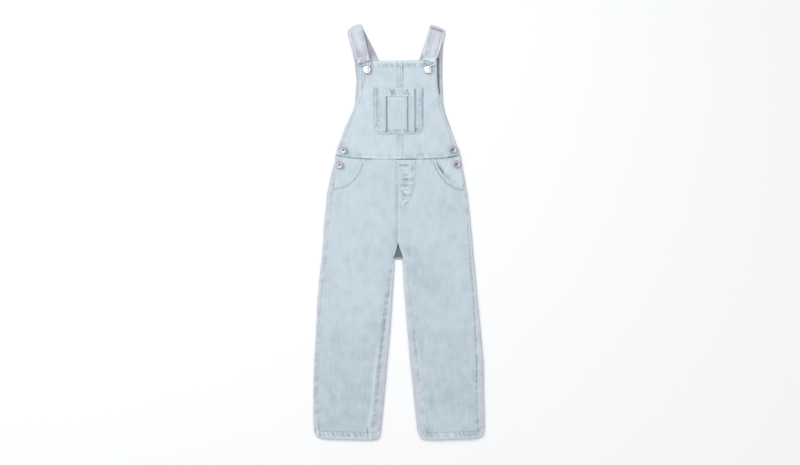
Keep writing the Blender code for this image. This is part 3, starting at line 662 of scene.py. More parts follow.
def hipFacing(side):
    inward = 1 if side == "left" else -1
    xs, ys, inset = [], [], []
    shares = np.linspace(0, 1, 36)
    for y in np.linspace(84, waist, 34):
        turn = float(column(turnTable[side], y, 1))
        outer = float(sideEdge(side, y)) + inward * (turn + gap)
        outer += inward * 5.5 * float(1 - ease((y - 99) / 5))
        x = outer + (float(column(facingReach[side], y, 1)) - outer) * shares
        level = y + (waistY(x) - gap / 2 - waist) * ease((y - 130) / 28)
        xs.append(x)
        ys.append(level)
        inset.append(np.abs(x - float(sideEdge(side, y))) - turn)
    x, y, inset = np.array(xs), np.array(ys), np.array(inset)
    under = 1 - ease((y - 112) / 22)
    z = frontUnder(x, y) - (wall + 0.55) * np.maximum(ease(inset / 16), under * ease(inset / 4))
    # painted shadow down the scoop edge, deep inside the right pocket's gaping edge and faint on the left; the
    # crease on the right facing gets a painted highlight
    shadow = {"left": -0.06, "right": -0.55}[side]
    crease = Line([(110, 152), (99, 123)], 2.2, 0.3, 0.2)
    height, wash = relief([crease], x, y)
    soft, stain = softness(x, y, 51)
    away, _, _ = alongPath(x, y, scoop[side])
    wash = wash + stain + 0.07 + shadow * np.exp(-(away / 7) ** 2) * np.exp(-((y - 135) / 16) ** 2)
    points = np.stack([x, y, z], -1)
    thick = wall + np.clip(height, 0, 0.2) * (1 - under)
    if side == "right":
        points, wash = points[:, ::-1], wash[:, ::-1]
    return cloth("denimHipFacing" + side.title(), [(points, thick, wash)], denims["leg"],
                 "hip_facing_" + side)


flyLook = {
    "wall": 0.45,  # only the facing's thickness shows through
    "outline": [(53, 6), (60, 13), (70, 22), (82, 29), (96, 33), (112, 35.5), (135, 36.8), (158.5, 37.2)],
    "stitch": [(28.4, 157), (29, 130), (28.6, 105), (25, 84), (17.5, 66), (8.8, 55.5)],
}
# the dark lines are painted shade in the fly's folds and puckers and along its stitching; the pale ones are painted
# highlight on raised folds and edges
flyFeatures = [
    Line(flyLook["stitch"], 1.3, -0.2, -0.10),
    Line([(36, 157), (36, 134), (34.5, 112)], 1.4, 0.05, 0.16),
    Line([(2, 146.5), (19, 146)], 2.6, -0.25, -0.30),
    Line([(5, 134.5), (13, 133.8)], 2.8, -0.2, -0.18),
    Line([(8, 117.5), (18, 116)], 2.2, -0.2, -0.22),
    Line([(5, 103), (11, 101.5)], 2.2, -0.2, -0.22),
    Line([(13, 104.5), (19, 102)], 2.2, -0.2, -0.20),
    Line([(6.6, 96.8), (19.8, 83.6)], 2.0, 0.3, 0.15),
    Line([(5, 90), (16, 79)], 2.2, -0.2, -0.18),
    Line([(9, 66), (8.6, 57)], 1.4, 0.25, 0.25),
    Line([(-1, 70.4), (5, 70.4)], 1.6, 0.2, 0.2),
    Rope(flyLook["stitch"], 6.0, 9.0, 0.3, 0.17, 0.3, 61),
    Rope([(14, 156), (14, 60)], 8.0, 8.0, 0.25, 0.14, 0.1, 62),
    Line([(7, 128), (16, 126)], 2.0, -0.2, -0.14), Line([(12, 96), (9, 86), (12, 76)], 1.8, -0.2, -0.16),
    Line([(17, 92), (21, 84), (17, 74)], 1.8, -0.2, -0.16), Line([(8, 76), (9, 66)], 1.8, -0.2, -0.18),
]


def flyFacing():
    shares = np.linspace(0, 1, 22)
    xs, ys = [], []
    for y in np.linspace(53, waist - gap, 56):
        right = float(np.interp(y, [row[0] for row in flyLook["outline"]],
                                [row[1] for row in flyLook["outline"]]))
        xs.append(-2 + (right + 2) * shares)
        ys.append(np.full(len(shares), y))
    x, y = np.array(xs), np.array(ys)
    height, wash = relief(flyFeatures, x, y)
    soft, stain = softness(x, y, 23)
    base, _ = legRelief("right", x, y)
    z = frontUnder(x, y) + wall + np.maximum(base, -0.6) + 0.08
    points = np.stack([x, y, z], -1)
    return cloth("denimFly", [(points, np.maximum(flyLook["wall"] + height, 0.25), wash + stain)],
                 denims["leg"], "fly_facing")


for side in ("left", "right"):
    backLeg(side)
    frontLeg(side)
    hipFacing(side)
flyFacing()
print("legs, hips and fly laid")


bibLook = {
    "top": 375.0, "foldWall": 1.6, "band": 12.0, "lap": (-7.5, 7.7),
    "pocketX": (-56.5, 52.8), "pocketY": (215, 317.5), "corner": 17.0,
    "pleats": {"left": (-43, -29.2), "right": (21.2, 34.2)}, "pleatY": (221, 317),
    "hem": (-42, 33.5, 298, 317), "stripWall": 0.6, "pleatLift": 0.3, "hemLift": 0.95,
}
bandPath = [(x, float(waistY(x))) for x in np.linspace(-138, 133, 25)]
# Tones of the bib's lines: the darkest are painted shadow along the waist seam and beside the centre front lap, the
# other dark ones painted shade in seam grooves and creases; the pale ones painted highlight on ridges and folded
# edges
bibFeatures = [
    Rope([(-85, 367), (85, 368.5)], 4.2, 8.0, 0.35, 0.17, 0.3, 71),
    Line([(-85, 373.5), (85, 374.5)], 1.6, 0.1, 0.25),
    Line([(-84, 363), (84, 364)], 1.2, -0.25, -0.12),
    Line([(-44, 367.2), (-10, 367.8)], 1.6, -0.2, -0.16),
    Line([(14, 368), (40, 368.6)], 1.6, -0.2, -0.16),
    Line([(-5.5, 370), (-3.5, 165)], 1.2, -0.25, -0.13),
    Line([(-1.2, 370), (0.9, 165)], 1.2, -0.2, -0.09),
    Line([(3.3, 370), (5.5, 165)], 1.2, -0.2, -0.12),
    Line([(8.1, 371), (9.0, 334), (9.8, 165)], 1.3, -0.15, -0.24),
    Line([(8.1, 371), (8.3, 358)], 1.5, -0.1, -0.3),
    Rope([(2, 370), (3, 165)], 5.0, 9.0, 0.15, 0.08, 0.2, 72),
    Line([(2.7, 175), (2.7, 162)], 6.5, 0.2, 0.22),
    Line([(x, y + 12.6) for x, y in bandPath], 1.2, -0.25, -0.11),
    Line([(x, y + 6.2) for x, y in bandPath], 1.2, -0.25, -0.09),
    Rope([(x, y + 6) for x, y in bandPath], 5.5, 12.0, 0.22, 0.09, 0.2, 73),
    Line([(x, y + 0.4) for x, y in bandPath], 1.3, -0.1, -0.26),
    Line([(-83, 161), (-58, 160)], 1.5, -0.1, -0.45),
    Line([(-4, 159.3), (37, 159.5)], 1.9, -0.1, -0.62),
    Line([(55, 160.5), (80, 161.6)], 1.5, -0.1, -0.36),
    Line([(-138, 168.5), (-127, 166.5)], 1.9, -0.1, -0.4),
    Line([(108, 164), (131, 167.8)], 1.7, -0.1, -0.42),
    Rope([(46, 169), (73, 170)], 4.5, 6.0, 0.25, 0.2, 0.4, 74),
    Line([(-80.3, 172), (-80.0, 161)], 1.6, 0.2, 0.22),
    Line([(-57.2, 172), (-57.0, 161)], 1.6, 0.2, 0.2),
    Line([(-85.5, 372), (-86, 300), (-104, 262), (-133, 188), (-137, 165)], 1.4, 0.1, 0.06),
    Line([(-80, 372), (-80.5, 302), (-98, 262), (-127, 190)], 1.3, -0.2, -0.09),
    Line([(84.5, 372), (85, 320), (94, 276), (125, 189), (131, 165)], 1.4, 0.1, 0.08),
    Line([(79, 366), (79.5, 318), (89, 277), (119, 190)], 1.3, -0.2, -0.10),
    Line([(76, 340), (82, 300)], 3.0, 0.3, 0.12),
    Line([(-74, 345), (-80, 316)], 3.0, -0.2, -0.14),
]


def bibRelief(x, y):
    height, wash = relief(bibFeatures, x, y)
    soft, stain = softness(x, y, 81)
    return height + soft * 0.6, wash + stain


def bibFront(side):
    step = garment["step"]
    lapLeft, lapRight = bibLook["lap"]
    xs, ys, walls = [], [], []
    shares = np.linspace(0, 1, 64 if side == "left" else 56)
    for y in np.arange(waist, bibLook["top"] + 0.1, (bibLook["top"] - waist) / 98):
        left, right = float(column(bibTable, y, 1)), float(column(bibTable, y, 2))
        start, end = (left, lapRight) if side == "left" else (lapRight + gap, right)
        x = start + (end - start) * shares
        rise = (waistY(x) - waist + gap / 2) * (1 - ease((y - waist - 12) / 26))
        tilt = (x + 85) * 0.017 * ease((y - 355) / 20)
        level = y + rise + tilt
        xs.append(x)
        ys.append(level)
        nearPocket = ease((y - 204) / 4) * (1 - ease((y - 319) / 4))
        felled = (x >= lapLeft) * (1 - nearPocket) * 0.55 if side == "left" else 0 * x
        hemmed = ease((y - 361) / 3) + 1 - ease((y - waist - bibLook["band"]) / 2)
        walls.append(wall + (bibLook["foldWall"] - wall) * np.clip(felled + hemmed, 0, 1))
    x, y = np.array(xs), np.array(ys)
    height, wash = bibRelief(x, y)
    points = np.stack([x, y, bibUnder(x, y)], -1)
    return cloth("denimBib" + side.title(), [(points, np.array(walls) + np.maximum(height, -0.7), wash)],
                 denims["bib"], "bib_front_" + side)


def onBib(x, y, layers):
    # Underside of what lies on the bib, this many layers up
    height, _ = bibRelief(x, y)
    return bibUnder(x, y) + layers * (wall + gap) + np.maximum(height, -0.7) * (layers < 2)


# the dark lines beside the pleats and round the pocket are painted shade; the pale line is painted highlight
pocketFeatures = [
    Line([(-54.5, 316), (-54.5, 234), (-50, 223), (-40, 217.5), (36, 217.5), (46, 223), (50.8, 234),
          (50.8, 316)], 1.3, -0.3, -0.18),
    Line([(-49, 316), (-49, 236), (-45, 227), (-37, 223), (34, 223), (41, 227), (45.4, 236),
          (45.4, 316)], 1.3, -0.25, -0.13),
    Rope([(-50.5, 310), (-50.5, 236), (-38, 222), (34, 222), (47, 236), (47, 310)], 4.2, 6.5, 0.15,
         0.08, 0.3, 91),
    Line([(-44.6, 314), (-44.4, 222)], 1.2, -0.2, -0.22),
    Line([(-27.2, 298), (-26.8, 221)], 1.6, -0.3, -0.56),
    Line([(15.4, 297), (15.8, 226)], 1.2, -0.15, -0.10), Line([(19.6, 297), (19.8, 222)], 1.5, -0.3, -0.58),
    Line([(35.6, 314), (35.8, 222)], 1.5, -0.3, -0.46),
    Line([(-24, 294), (16, 294)], 1.6, 0.1, 0.10),
    Rope([(-48, 224), (44, 224)], 4.5, 6.5, 0.2, 0.14, 0.3, 92),
    Line([(-49.5, 314), (-50, 232)], 1.5, -0.2, -0.12), Line([(-46.8, 312), (-46.8, 240)], 1.4, -0.1, -0.08),
    Line([(40.5, 314), (40.5, 236)], 1.5, -0.15, -0.07), Line([(51.3, 316), (51.3, 250)], 1.3, -0.2, -0.26),
    Rope([(-50, 312), (-50, 230)], 6.5, 7.0, 0.12, 0.06, 0.8, 93),
    Rope([(44, 312), (44, 230)], 6.5, 7.0, 0.12, 0.06, 0.8, 94),
]


def bibPocket():
    (left, right), (low, high), corner = bibLook["pocketX"], bibLook["pocketY"], bibLook["corner"]
    shares = np.linspace(0, 1, 56)
    levels = [low + corner * (1 - math.cos(a)) for a in np.linspace(0, math.pi / 2, 12)]
    levels += list(np.linspace(low + corner, high, 40)[1:])
    xs = []
    for y in levels:
        drop = max(0.0, low + corner - y)
        pull = (corner - math.sqrt(max(corner ** 2 - drop ** 2, 0.0))) * 0.8
        xs.append(left + pull + (right - left - 2 * pull) * shares)
    x = np.array(xs)
    y = np.repeat(np.array(levels)[:, None], len(shares), 1)
    height, wash = relief(pocketFeatures, x, y)
    _, stain = softness(x, y, 83)
    points = np.stack([x, y, onBib(x, y, 1)], -1)
    return cloth("denimBibPocket", [(points, wall + np.clip(height, -0.5, 0.25), wash + stain - 0.01)],
                 denims["bib"], "bib_pocket")


def pocketStrip(name, node, left, right, low, high, lift, features):
    # A narrow folded strip on the pocket, pressed flat, its long edges painted paler as highlight
    xs, ys = np.linspace(left, right, max(8, int((right - left) / 1.7))), np.linspace(low, high, 50)
    x, y = np.meshgrid(xs, ys)
    height, wash = relief(features, x, y)
    _, stain = softness(x, y, 85)
    height += noise(x, y, 9, 86) * 0.08
    points = np.stack([x, y, bibUnder(x, y) + 2 * wall + gap + lift], -1)
    wash = wash + stain
    return cloth(name, [(points, np.maximum(bibLook["stripWall"] + height, 0.25), wash)],
                 denims["bib"], node)


def pocketDetails():
    low, high = bibLook["pleatY"]
    for side, (left, right) in bibLook["pleats"].items():
        middle = (left + right) / 2
        # pale edge lines are painted highlight, the middle line painted shade in the pleat's crease
        features = [Line([(left + 0.8, low), (left + 0.8, high)], 1.1, 0.05, 0.10),
                    Line([(right - 0.8, low), (right - 0.8, high)], 1.1, 0.05, 0.10),
                    Line([(middle, low), (middle, high)], 1.6, -0.15, -0.10),
                    Rope([(left, low), (left, high)], 4.0, 10.0, 0.1, 0.08, 0.4, 87)]
        pocketStrip("denimPleat" + side.title(), "pocket_pleat_" + side, left, right, low, high,
                    bibLook["pleatLift"], features)
    left, right, low, high = bibLook["hem"]
    # the hem's edges get painted highlight, a painted shadow runs under its lower edge and painted shade lies in its
    # puckers
    features = [Line([(left, low + 1), (right, low + 1)], 1.6, 0.1, 0.20),
                Line([(left, high - 1), (right, high - 1)], 1.6, 0.1, 0.20),
                Line([(left, low - 0.5), (right, low - 0.5)], 1.1, -0.1, -0.16),
                Rope([(left, 307.5), (right, 307.5)], 6.0, 6.0, 0.25, 0.14, 0.5, 88),
                Line([(-19, 313), (-15, 301)], 1.7, -0.2, -0.30), Line([(-12, 314), (-15, 303)], 1.7, -0.2, -0.24),
                Line([(-11, 312), (-8, 301)], 1.7, -0.2, -0.28), Line([(9, 313), (12, 302)], 1.7, -0.2, -0.28),
                Line([(18, 314), (15, 303)], 1.8, -0.2, -0.32), Line([(19, 312), (22, 301)], 1.7, -0.2, -0.30)]
    pocketStrip("denimPocketHem", "pocket_hem", left, right, low, high, bibLook["hemLift"], features)


backOutline = {
    "left": [(-133, 189), (-121, 224), (-104, 260), (-97, 280), (-93.5, 334), (-97, 372),
             (-103, 402), (-110, 428)],
    "right": [(126.5, 189), (115, 224), (102, 260), (97.5, 280), (95, 334), (95.2, 372),
              (96.2, 402), (97.8, 434.5)],
    "leftInner": [(0, 348), (-27, 357), (-44, 377), (-53, 396), (-66, 421), (-78.8, 445.5)],
    "rightInner": [(0, 348), (26, 354), (41, 371), (50.5, 393), (59.5, 420), (66.5, 445.5)],
}


def alongRun(path, shares):
    # Points at these shares of a path's length, rounded between its corners
    path = np.asarray(path, float)
    run = np.concatenate([[0], np.cumsum(np.hypot(*np.diff(path, axis=0).T))])
    at = np.asarray(shares) * run[-1]
    return np.stack([np.interp(at, run, path[:, k]) for k in (0, 1)], -1)


def backBib():
    surfaces = []
    ys = np.linspace(waist + gap, 340, 60)
    xs = []
    for y in ys:
        left = np.interp(y, [159] + [p[1] for p in backOutline["left"]],
                         [-138] + [p[0] for p in backOutline["left"]])
        right = np.interp(y, [159] + [p[1] for p in backOutline["right"]],
                          [133] + [p[0] for p in backOutline["right"]])
        xs.append(np.linspace(left, right, 80))
    x = np.array(xs)
    y = np.repeat(ys[:, None], 80, 1)
    y = y + (waistY(x) - waist) * (1 - ease((y - waist) / 40))
    _, stain = softness(x, y, 101)
    edge = ease((np.abs(x) - 80) / 10)
    shade = backShade["right"]
    dark = shade["tone"] * np.exp(-(alongPath(x, y, shade["path"])[0] / shade["reach"]) ** 2)
    surfaces.append((np.stack([x, y, 0 * x], -1), wall, stain + 0.06 - 0.02 * edge + dark))
    for side in ("left", "right"):
        shares = np.linspace(0, 1, 44)
        start = np.interp(340, [p[1] for p in backOutline[side]], [p[0] for p in backOutline[side]])
        outer = [(start, 338.5)] + [p for p in backOutline[side] if p[1] > 345]
        inner = backOutline[side + "Inner"]
        a, b = alongRun(outer, shares), alongRun([(inner[0][0], 338.5)] + inner, shares)
        across = np.linspace(0, 1, 26)[None, :, None]
        points = a[:, None] + (b - a)[:, None] * across
        if side == "right":
            points = points[:, ::-1]
        x, y = points[..., 0], points[..., 1]
        _, stain = softness(x, y, 103)
        shade = backShade[side]
        dark = shade["tone"] * np.exp(-(alongPath(x, y, shade["path"])[0] / shade["reach"]) ** 2)
        grid = np.concatenate([points, np.full(points.shape[:2] + (1,), 0.02)], -1)
        surfaces.append((grid, wall, stain * 2 + dark + 0.06 * (side == "left")))
    return cloth("denimBackBib", surfaces, denims["back"], "back_bib")


# Where the arms of the back lie in the shadow of the straps
backShade = {
    "left": {"path": [(-79, 448), (-70, 418), (-60, 392)], "reach": 9.0, "tone": -0.26},
    "right": {"path": [(77, 380), (84.5, 379.5), (84.8, 345), (86.6, 305)], "reach": 3.4, "tone": -0.85},
}

for side in ("left", "right"):
    bibFront(side)
bibPocket()
pocketDetails()
backBib()
print("bib and pocket laid")

# Edges and height of each strap, from the free end under the front
strapTable = {
    "left": {
        "under": [(-102, 398, -71, 408, 2.4), (-97, 385, -68, 392, 3.7)],
        "loop": (-89.5, 373, -65, 379.5, 4.8),
        "front": [(-98, 386, -67.8, 393, 6.6), (-103, 401, -71.8, 410, 4.6),
                  (-108.5, 419, -76.5, 429.5, 3.4), (-113, 434.5, -81.3, 449, 2.7)],
        "fold": (-112, 442, -83.5, 455.5, 0.7),
        "back": [(-110.3, 428.9, -79, 446.4, 0.7)],
    },
    "right": {
        "under": [(56, 405, 88, 395, 2.4), (53, 392, 82.5, 384.5, 3.7)],
        "loop": (55.5, 381, 79.5, 374.5, 4.8),
        "front": [(52, 393, 84.5, 385, 6.6), (57, 409, 90, 400, 4.6),
                  (62.5, 429, 96, 418, 3.4), (67.8, 448, 100.5, 436.5, 2.7)],
        "fold": (69.6, 455, 99.6, 443.5, 0.7),
        "back": [(66.8, 446.4, 97.8, 435.4, 0.7)],
    },
}
strapLook = {"loopRadius": 2.3, "foldRadius": 0.95, "bow": {"left": 4.2, "right": 0.9},
             "lower": {"left": -0.20, "right": 0.05}, "loopHighlight": 0.35}
# the dark lines are painted shade: the shadow under the right strap's fold over the shoulder, a dark mark by the
# left hook and the seam grooves; the pale ones are painted highlight, with a painted glint at the lower corner of
# the left strap
strapFeatures = {
    "left": [Line([(-65.5, 383), (-80, 448)], 1.3, 0.15, 0.14), Line([(-93, 384), (-110, 436)], 1.3, 0.1, 0.12),
             Line([(-69.8, 386), (-84, 446)], 1.3, -0.25, -0.12), Line([(-88, 384), (-106, 436)], 1.3, -0.25, -0.12),
             Line([(-84, 376), (-74, 379)], 1.8, -0.3, -0.3), Line([(-66, 393), (-68, 388)], 2.0, 0.3, 0.35),
             Line([(-97, 440), (-88, 420), (-82, 395)], 3.5, 0.2, 0.12),
             Rope([(-70, 386), (-84, 446)], 5.0, 12.0, 0.2, 0.1, 0.3, 111)],
    "right": [Line([(53.5, 388), (69, 446)], 1.3, 0.15, 0.12), Line([(83, 384), (98.5, 436)], 1.3, 0.1, 0.12),
              Line([(57.5, 388), (73, 446)], 1.3, -0.25, -0.12), Line([(78.5, 384), (94, 436)], 1.3, -0.25, -0.12),
              Line([(71, 449.5), (96, 440.5)], 2.0, -0.3, -0.55), Line([(62, 386), (70, 384)], 1.8, -0.2, -0.12),
              Line([(66, 395), (76, 430)], 3.0, -0.2, -0.10), Line([(72, 395), (86, 436)], 2.6, 0.2, 0.10),
              Rope([(58, 388), (73, 446)], 5.0, 12.0, 0.2, 0.1, 0.3, 112)],
}


def bend(row, radius, outward, angles):
    lx, ly, rx, ry, z = row
    length = math.hypot(rx - lx, ry - ly)
    px, py = -(ry - ly) / length * outward, (rx - lx) / length * outward
    made = []
    for degrees in angles:
        angle = math.radians(degrees)
        reach = radius * math.cos(angle)
        made.append((lx + px * reach, ly + py * reach, rx + px * reach, ry + py * reach,
                     z + radius + radius * math.sin(angle)))
    return made


def strap(side):
    table = strapTable[side]
    loop = bend(table["loop"], strapLook["loopRadius"], -1, range(-90, 91, 15))
    fold = bend(table["fold"], strapLook["foldRadius"], 1, range(90, -91, -30))
    parts = [table["under"] + loop[:1], loop, [loop[-1]] + table["front"] + fold[:1], fold,
             [fold[-1]] + table["back"]]
    rows = []
    for index, part in enumerate(parts):
        fine = spreadRows(part, 2.0, [0, 1, 2, 3, 4]) if index % 2 == 0 else np.array(part)
        rows += list(fine if not rows else fine[1:])
    rows = np.array(rows)
    shares = np.linspace(0, 1, 20)[None, :]
    x = rows[:, :1] + (rows[:, 2:3] - rows[:, :1]) * shares
    y = rows[:, 1:2] + (rows[:, 3:4] - rows[:, 1:2]) * shares
    # the fold over the shoulder isn't straight: it rounds off towards its corners
    y = y + strapLook["bow"][side] * np.sin(math.pi * shares) * ease((y - 425) / 25)
    z = np.repeat(rows[:, 4:5], 20, 1)
    points = np.stack([x, y, z], -1)
    co, quads = patch(points)
    points = (co - normalsOf(co, quads) * garment["strapWall"] / 2).reshape(points.shape)
    height, wash = relief(strapFeatures[side], x, y)
    _, stain = softness(x, y, 105 if side == "left" else 107)
    lower = strapLook["lower"][side] * ease((430 - y) / 45)
    # the loop at the strap's lower end is painted paler: a painted highlight
    lower = lower + strapLook["loopHighlight"] * (1 - ease((y - 372) / 16))
    return cloth("denimStrap" + side.title(), [(points, garment["strapWall"], wash + stain + lower)],
                 denims["strap" + side.title()], "strap_" + side)


for side in ("left", "right"):
    strap(side)
print("straps folded")

# Stitches are 3 mm long and 0.4 mm thick; drawn a little longer and thicker, so that they show
# the thread's colour is darker than the pale real thread: painted shade of its stitch holes
threadLook = {"pitch": 5.0, "length": 3.3, "width": 0.8, "height": 0.28, "sunk": 0.15,
              "colour": "#8797a4", "slack": 0.25}


def threadMaterial():
    # Spun cotton thread, washed out with the cloth: matt, its shade uneven along each seam, and darker than the real
    # thread as painted shade of the stitch holes
    material = bpy.data.materials.new("washedCottonThread")
    material.use_nodes = True
    tree = material.node_tree
    shader = tree.nodes["Principled BSDF"]
    shader.inputs["Roughness"].default_value = 0.85
    place = addNode(tree, "ShaderNodeTexCoord", {}, {})
    fade = addNode(tree, "ShaderNodeTexNoise", {}, {"Vector": (place, "Object"), "Scale": 90.0, "Detail": 2.0})
    colour = addNode(tree, "ShaderNodeValToRGB", {}, {"Fac": (fade, "Fac")})
    setColours(colour.color_ramp, [(0.35, "#687986"), (0.5, threadLook["colour"]), (0.65, "#bccad4")])
    tree.links.new(colour.outputs["Color"], shader.inputs["Base Color"])
    return material


def shifted(path, dx, dy=0.0):
    return [(x + dx, y + dy) for x, y in path]


def sew(name, cloths, paths, material):
    # One short thread after another along each path, lying on the topmost of these cloths
    points, faces = [], []
    for obj in cloths:
        base = len(points)
        points += [vertex.co.copy() for vertex in obj.data.vertices]
        faces += [[base + index for index in polygon.vertices] for polygon in obj.data.polygons]
    tree = BVHTree.FromPolygons(points, faces)
    rng = np.random.default_rng(7)
    verts, quads = [], []
    above, down = 50 * mm, Vector((0, 0, -1))
    for path in paths:
        total = float(np.hypot(*np.diff(np.asarray(path, float), axis=0).T).sum())
        for start in np.arange(0.5, total - threadLook["length"], threadLook["pitch"]):
            ends = alongRun(path, np.array([start, start + threadLook["length"]]) / total)
            ends += rng.uniform(-1, 1, 2) * threadLook["slack"]
            ahead = ends[1] - ends[0]
            side = np.array([-ahead[1], ahead[0]]) / max(np.hypot(*ahead), 0.1) * threadLook["width"] / 2
            base, found = len(verts), True
            for share, height in ((0, 0.02), (0.5, threadLook["height"]), (1, 0.02)):
                x, y = ends[0] + ahead * share
                hit = tree.ray_cast(Vector((x * mm, y * mm, above)), down)[0]
                found = found and hit is not None
                z = hit.z / mm if found else 0.0
                for across, lift in ((1, -threadLook["sunk"]), (0.6, height), (-0.6, height),
                                     (-1, -threadLook["sunk"])):
                    verts.append((x + side[0] * across, y + side[1] * across, z + lift))
            if not found:
                del verts[base:]
                continue
            for ring in (base, base + 4):
                quads += [(ring + k, ring + (k + 1) % 4, ring + 4 + (k + 1) % 4, ring + 4 + k)
                          for k in range(4)]
            quads += [(base + 3, base + 2, base + 1, base), (base + 8, base + 9, base + 10, base + 11)]
    mesh = bpy.data.meshes.new(name)
    mesh.from_pydata((np.array(verts) * mm).tolist(), [], quads)
    mesh.materials.append(material)
    mesh.shade_smooth()
    piece = bpy.data.objects.new(name, mesh)
    bpy.context.scene.collection.objects.link(piece)
    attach(piece, "root")
    return piece


thread = threadMaterial()
legSeams = []
for side, inward in (("left", 1), ("right", -1)):
    edge = [(x, y) for x, y in seamPath(side, "inner") if y < -60]
    legSeams += [shifted(edge, -2.2 * inward), shifted(edge, -6.4 * inward)]
    edge = [(x, y) for x, y in seamPath(side, "outer") if y > -425]
    legSeams += [shifted(edge, 2.4 * inward), hemPath(side, 15.6)[1:-1]]
    legSeams += [shifted(scoop[side], 2.2 * inward, -5.2), shifted(scoop[side], 3.4 * inward, -8.2)]
legSeams += [[(-5.4, 154), (-5.4, -30)], [(-9.0, 154), (-9.0, -24)], flyLook["stitch"],
             shifted(flyLook["stitch"], 3.4, -0.8), [(36, 156), (35.8, 134), (34.2, 114)]]
# the three rows down the middle of the bib pass under the pocket
bibSeams = [shifted(row, dx) for dx in (-5.6, -1.4, 3.4)
            for row in ([(0, 372), (0.5, 319.5)], [(1.7, 213), (2.2, 162)])]
bibSeams += [[(-83, 362.6), (82, 363.6)], shifted(bandPath, 0, 2.0)[1:-1], shifted(bandPath, 0, 9.6)[1:-1],
            [(-82, 360), (-82, 302), (-99, 262), (-128, 190), (-132, 172)],
            [(80, 360), (80.6, 318), (90, 277), (120, 190), (126.5, 172)]]
pocketSeams = [pocketFeatures[0].path, pocketFeatures[1].path]
hemLeft, hemRight, hemLow, hemHigh = bibLook["hem"]
pocketSeams += [[(hemLeft + 1, hemLow + 2.4), (hemRight - 1, hemLow + 2.4)],
                [(hemLeft + 1, hemHigh - 2.2), (hemRight - 1, hemHigh - 2.2)]]
for left, right in bibLook["pleats"].values():
    pocketSeams += [[(left + 2.4, 296), (left + 2.4, 223)], [(right - 2.4, 296), (right - 2.4, 223)]]
strapSeams = [strapFeatures[side][k].path for side in ("left", "right") for k in (2, 3)]


def named(*starts):
    return [obj for obj in bpy.data.objects if obj.name.startswith(starts)]


sew("threadLegs", named("denimFrontLeg", "denimBackLeg", "denimFly", "denimHipFacing"), legSeams, thread)
sew("threadBib", named("denimBib", "denimPleat", "denimPocket"), bibSeams + pocketSeams, thread)
sew("threadStraps", named("denimStrap"), strapSeams, thread)
print("seams sewn")


def metal(look):
    # Pressed and tumbled steel with a nickel skin: grey, brighter and darker in small patches of tarnish. The dark
    # hollow material laid round the buttons' rims and in their middles is painted shade
    material = bpy.data.materials.new(look["name"])
    material.use_nodes = True
    tree = material.node_tree
    shader = tree.nodes["Principled BSDF"]
    shader.inputs["Metallic"].default_value = 1.0
    place = addNode(tree, "ShaderNodeTexCoord", {}, {})
    tarnish = addNode(tree, "ShaderNodeTexNoise", {}, {"Vector": (place, "Object"), "Scale": 380.0,
                                                      "Detail": 4.0})
    colour = addNode(tree, "ShaderNodeValToRGB", {}, {"Fac": (tarnish, "Fac")})
    setColours(colour.color_ramp, [(0.3, look["dark"]), (0.62, look["bright"])])
    tree.links.new(colour.outputs["Color"], shader.inputs["Base Color"])
    rough = addNode(tree, "ShaderNodeMapRange", {}, {"Value": (tarnish, "Fac"), "To Min": look["gloss"],
                                                    "To Max": look["gloss"] + 0.18})
    tree.links.new(rough.outputs["Result"], shader.inputs["Roughness"])
    bump = addNode(tree, "ShaderNodeBump", {}, {"Height": (tarnish, "Fac"), "Strength": 0.25,
                                               "Distance": 0.0002})
    tree.links.new(bump.outputs["Normal"], shader.inputs["Normal"])
    return material


buttonMetal = metal({"name": "nickelledTackButton", "dark": "#b9b6b8", "bright": "#f4f2f2", "gloss": 0.28})
ringMetal = metal({"name": "tumbledTackRing", "dark": "#a29fa6", "bright": "#d0cdd4", "gloss": 0.42})
hollowMetal = metal({"name": "tarnishedTackHollow", "dark": "#55535a", "bright": "#8d8a92", "gloss": 0.5})
wireMetal = metal({"name": "nickelledSteelWire", "dark": "#b5b3ba", "bright": "#efedf2", "gloss": 0.34})

buttonLook = {
    "radius": 8.5, "rim": 2.55, "dish": 1.5, "foot": 4.1, "bibShank": 3.7, "sideShank": 2.6, "lean": 14,
    "bib": {"left": (-70.3, 356.6), "right": (63.6, 357.0)},
    "sides": {"left_upper": (-122.8, 180.5), "left_lower": (-131.0, 148.0),
              "right_upper": (117.7, 181.0), "right_lower": (125.8, 149.0)},
}


def pickFaces(obj, test):
    # Selects the faces whose middle passes a test, with edit mode's own selection off first
    bpy.ops.object.mode_set(mode="EDIT")
    bpy.ops.mesh.select_mode(type="FACE")
    bpy.ops.mesh.select_all(action="DESELECT")
    bpy.ops.object.mode_set(mode="OBJECT")
    for polygon in obj.data.polygons:
        polygon.select = bool(test(polygon.center, polygon.normal))
    bpy.ops.object.mode_set(mode="EDIT")


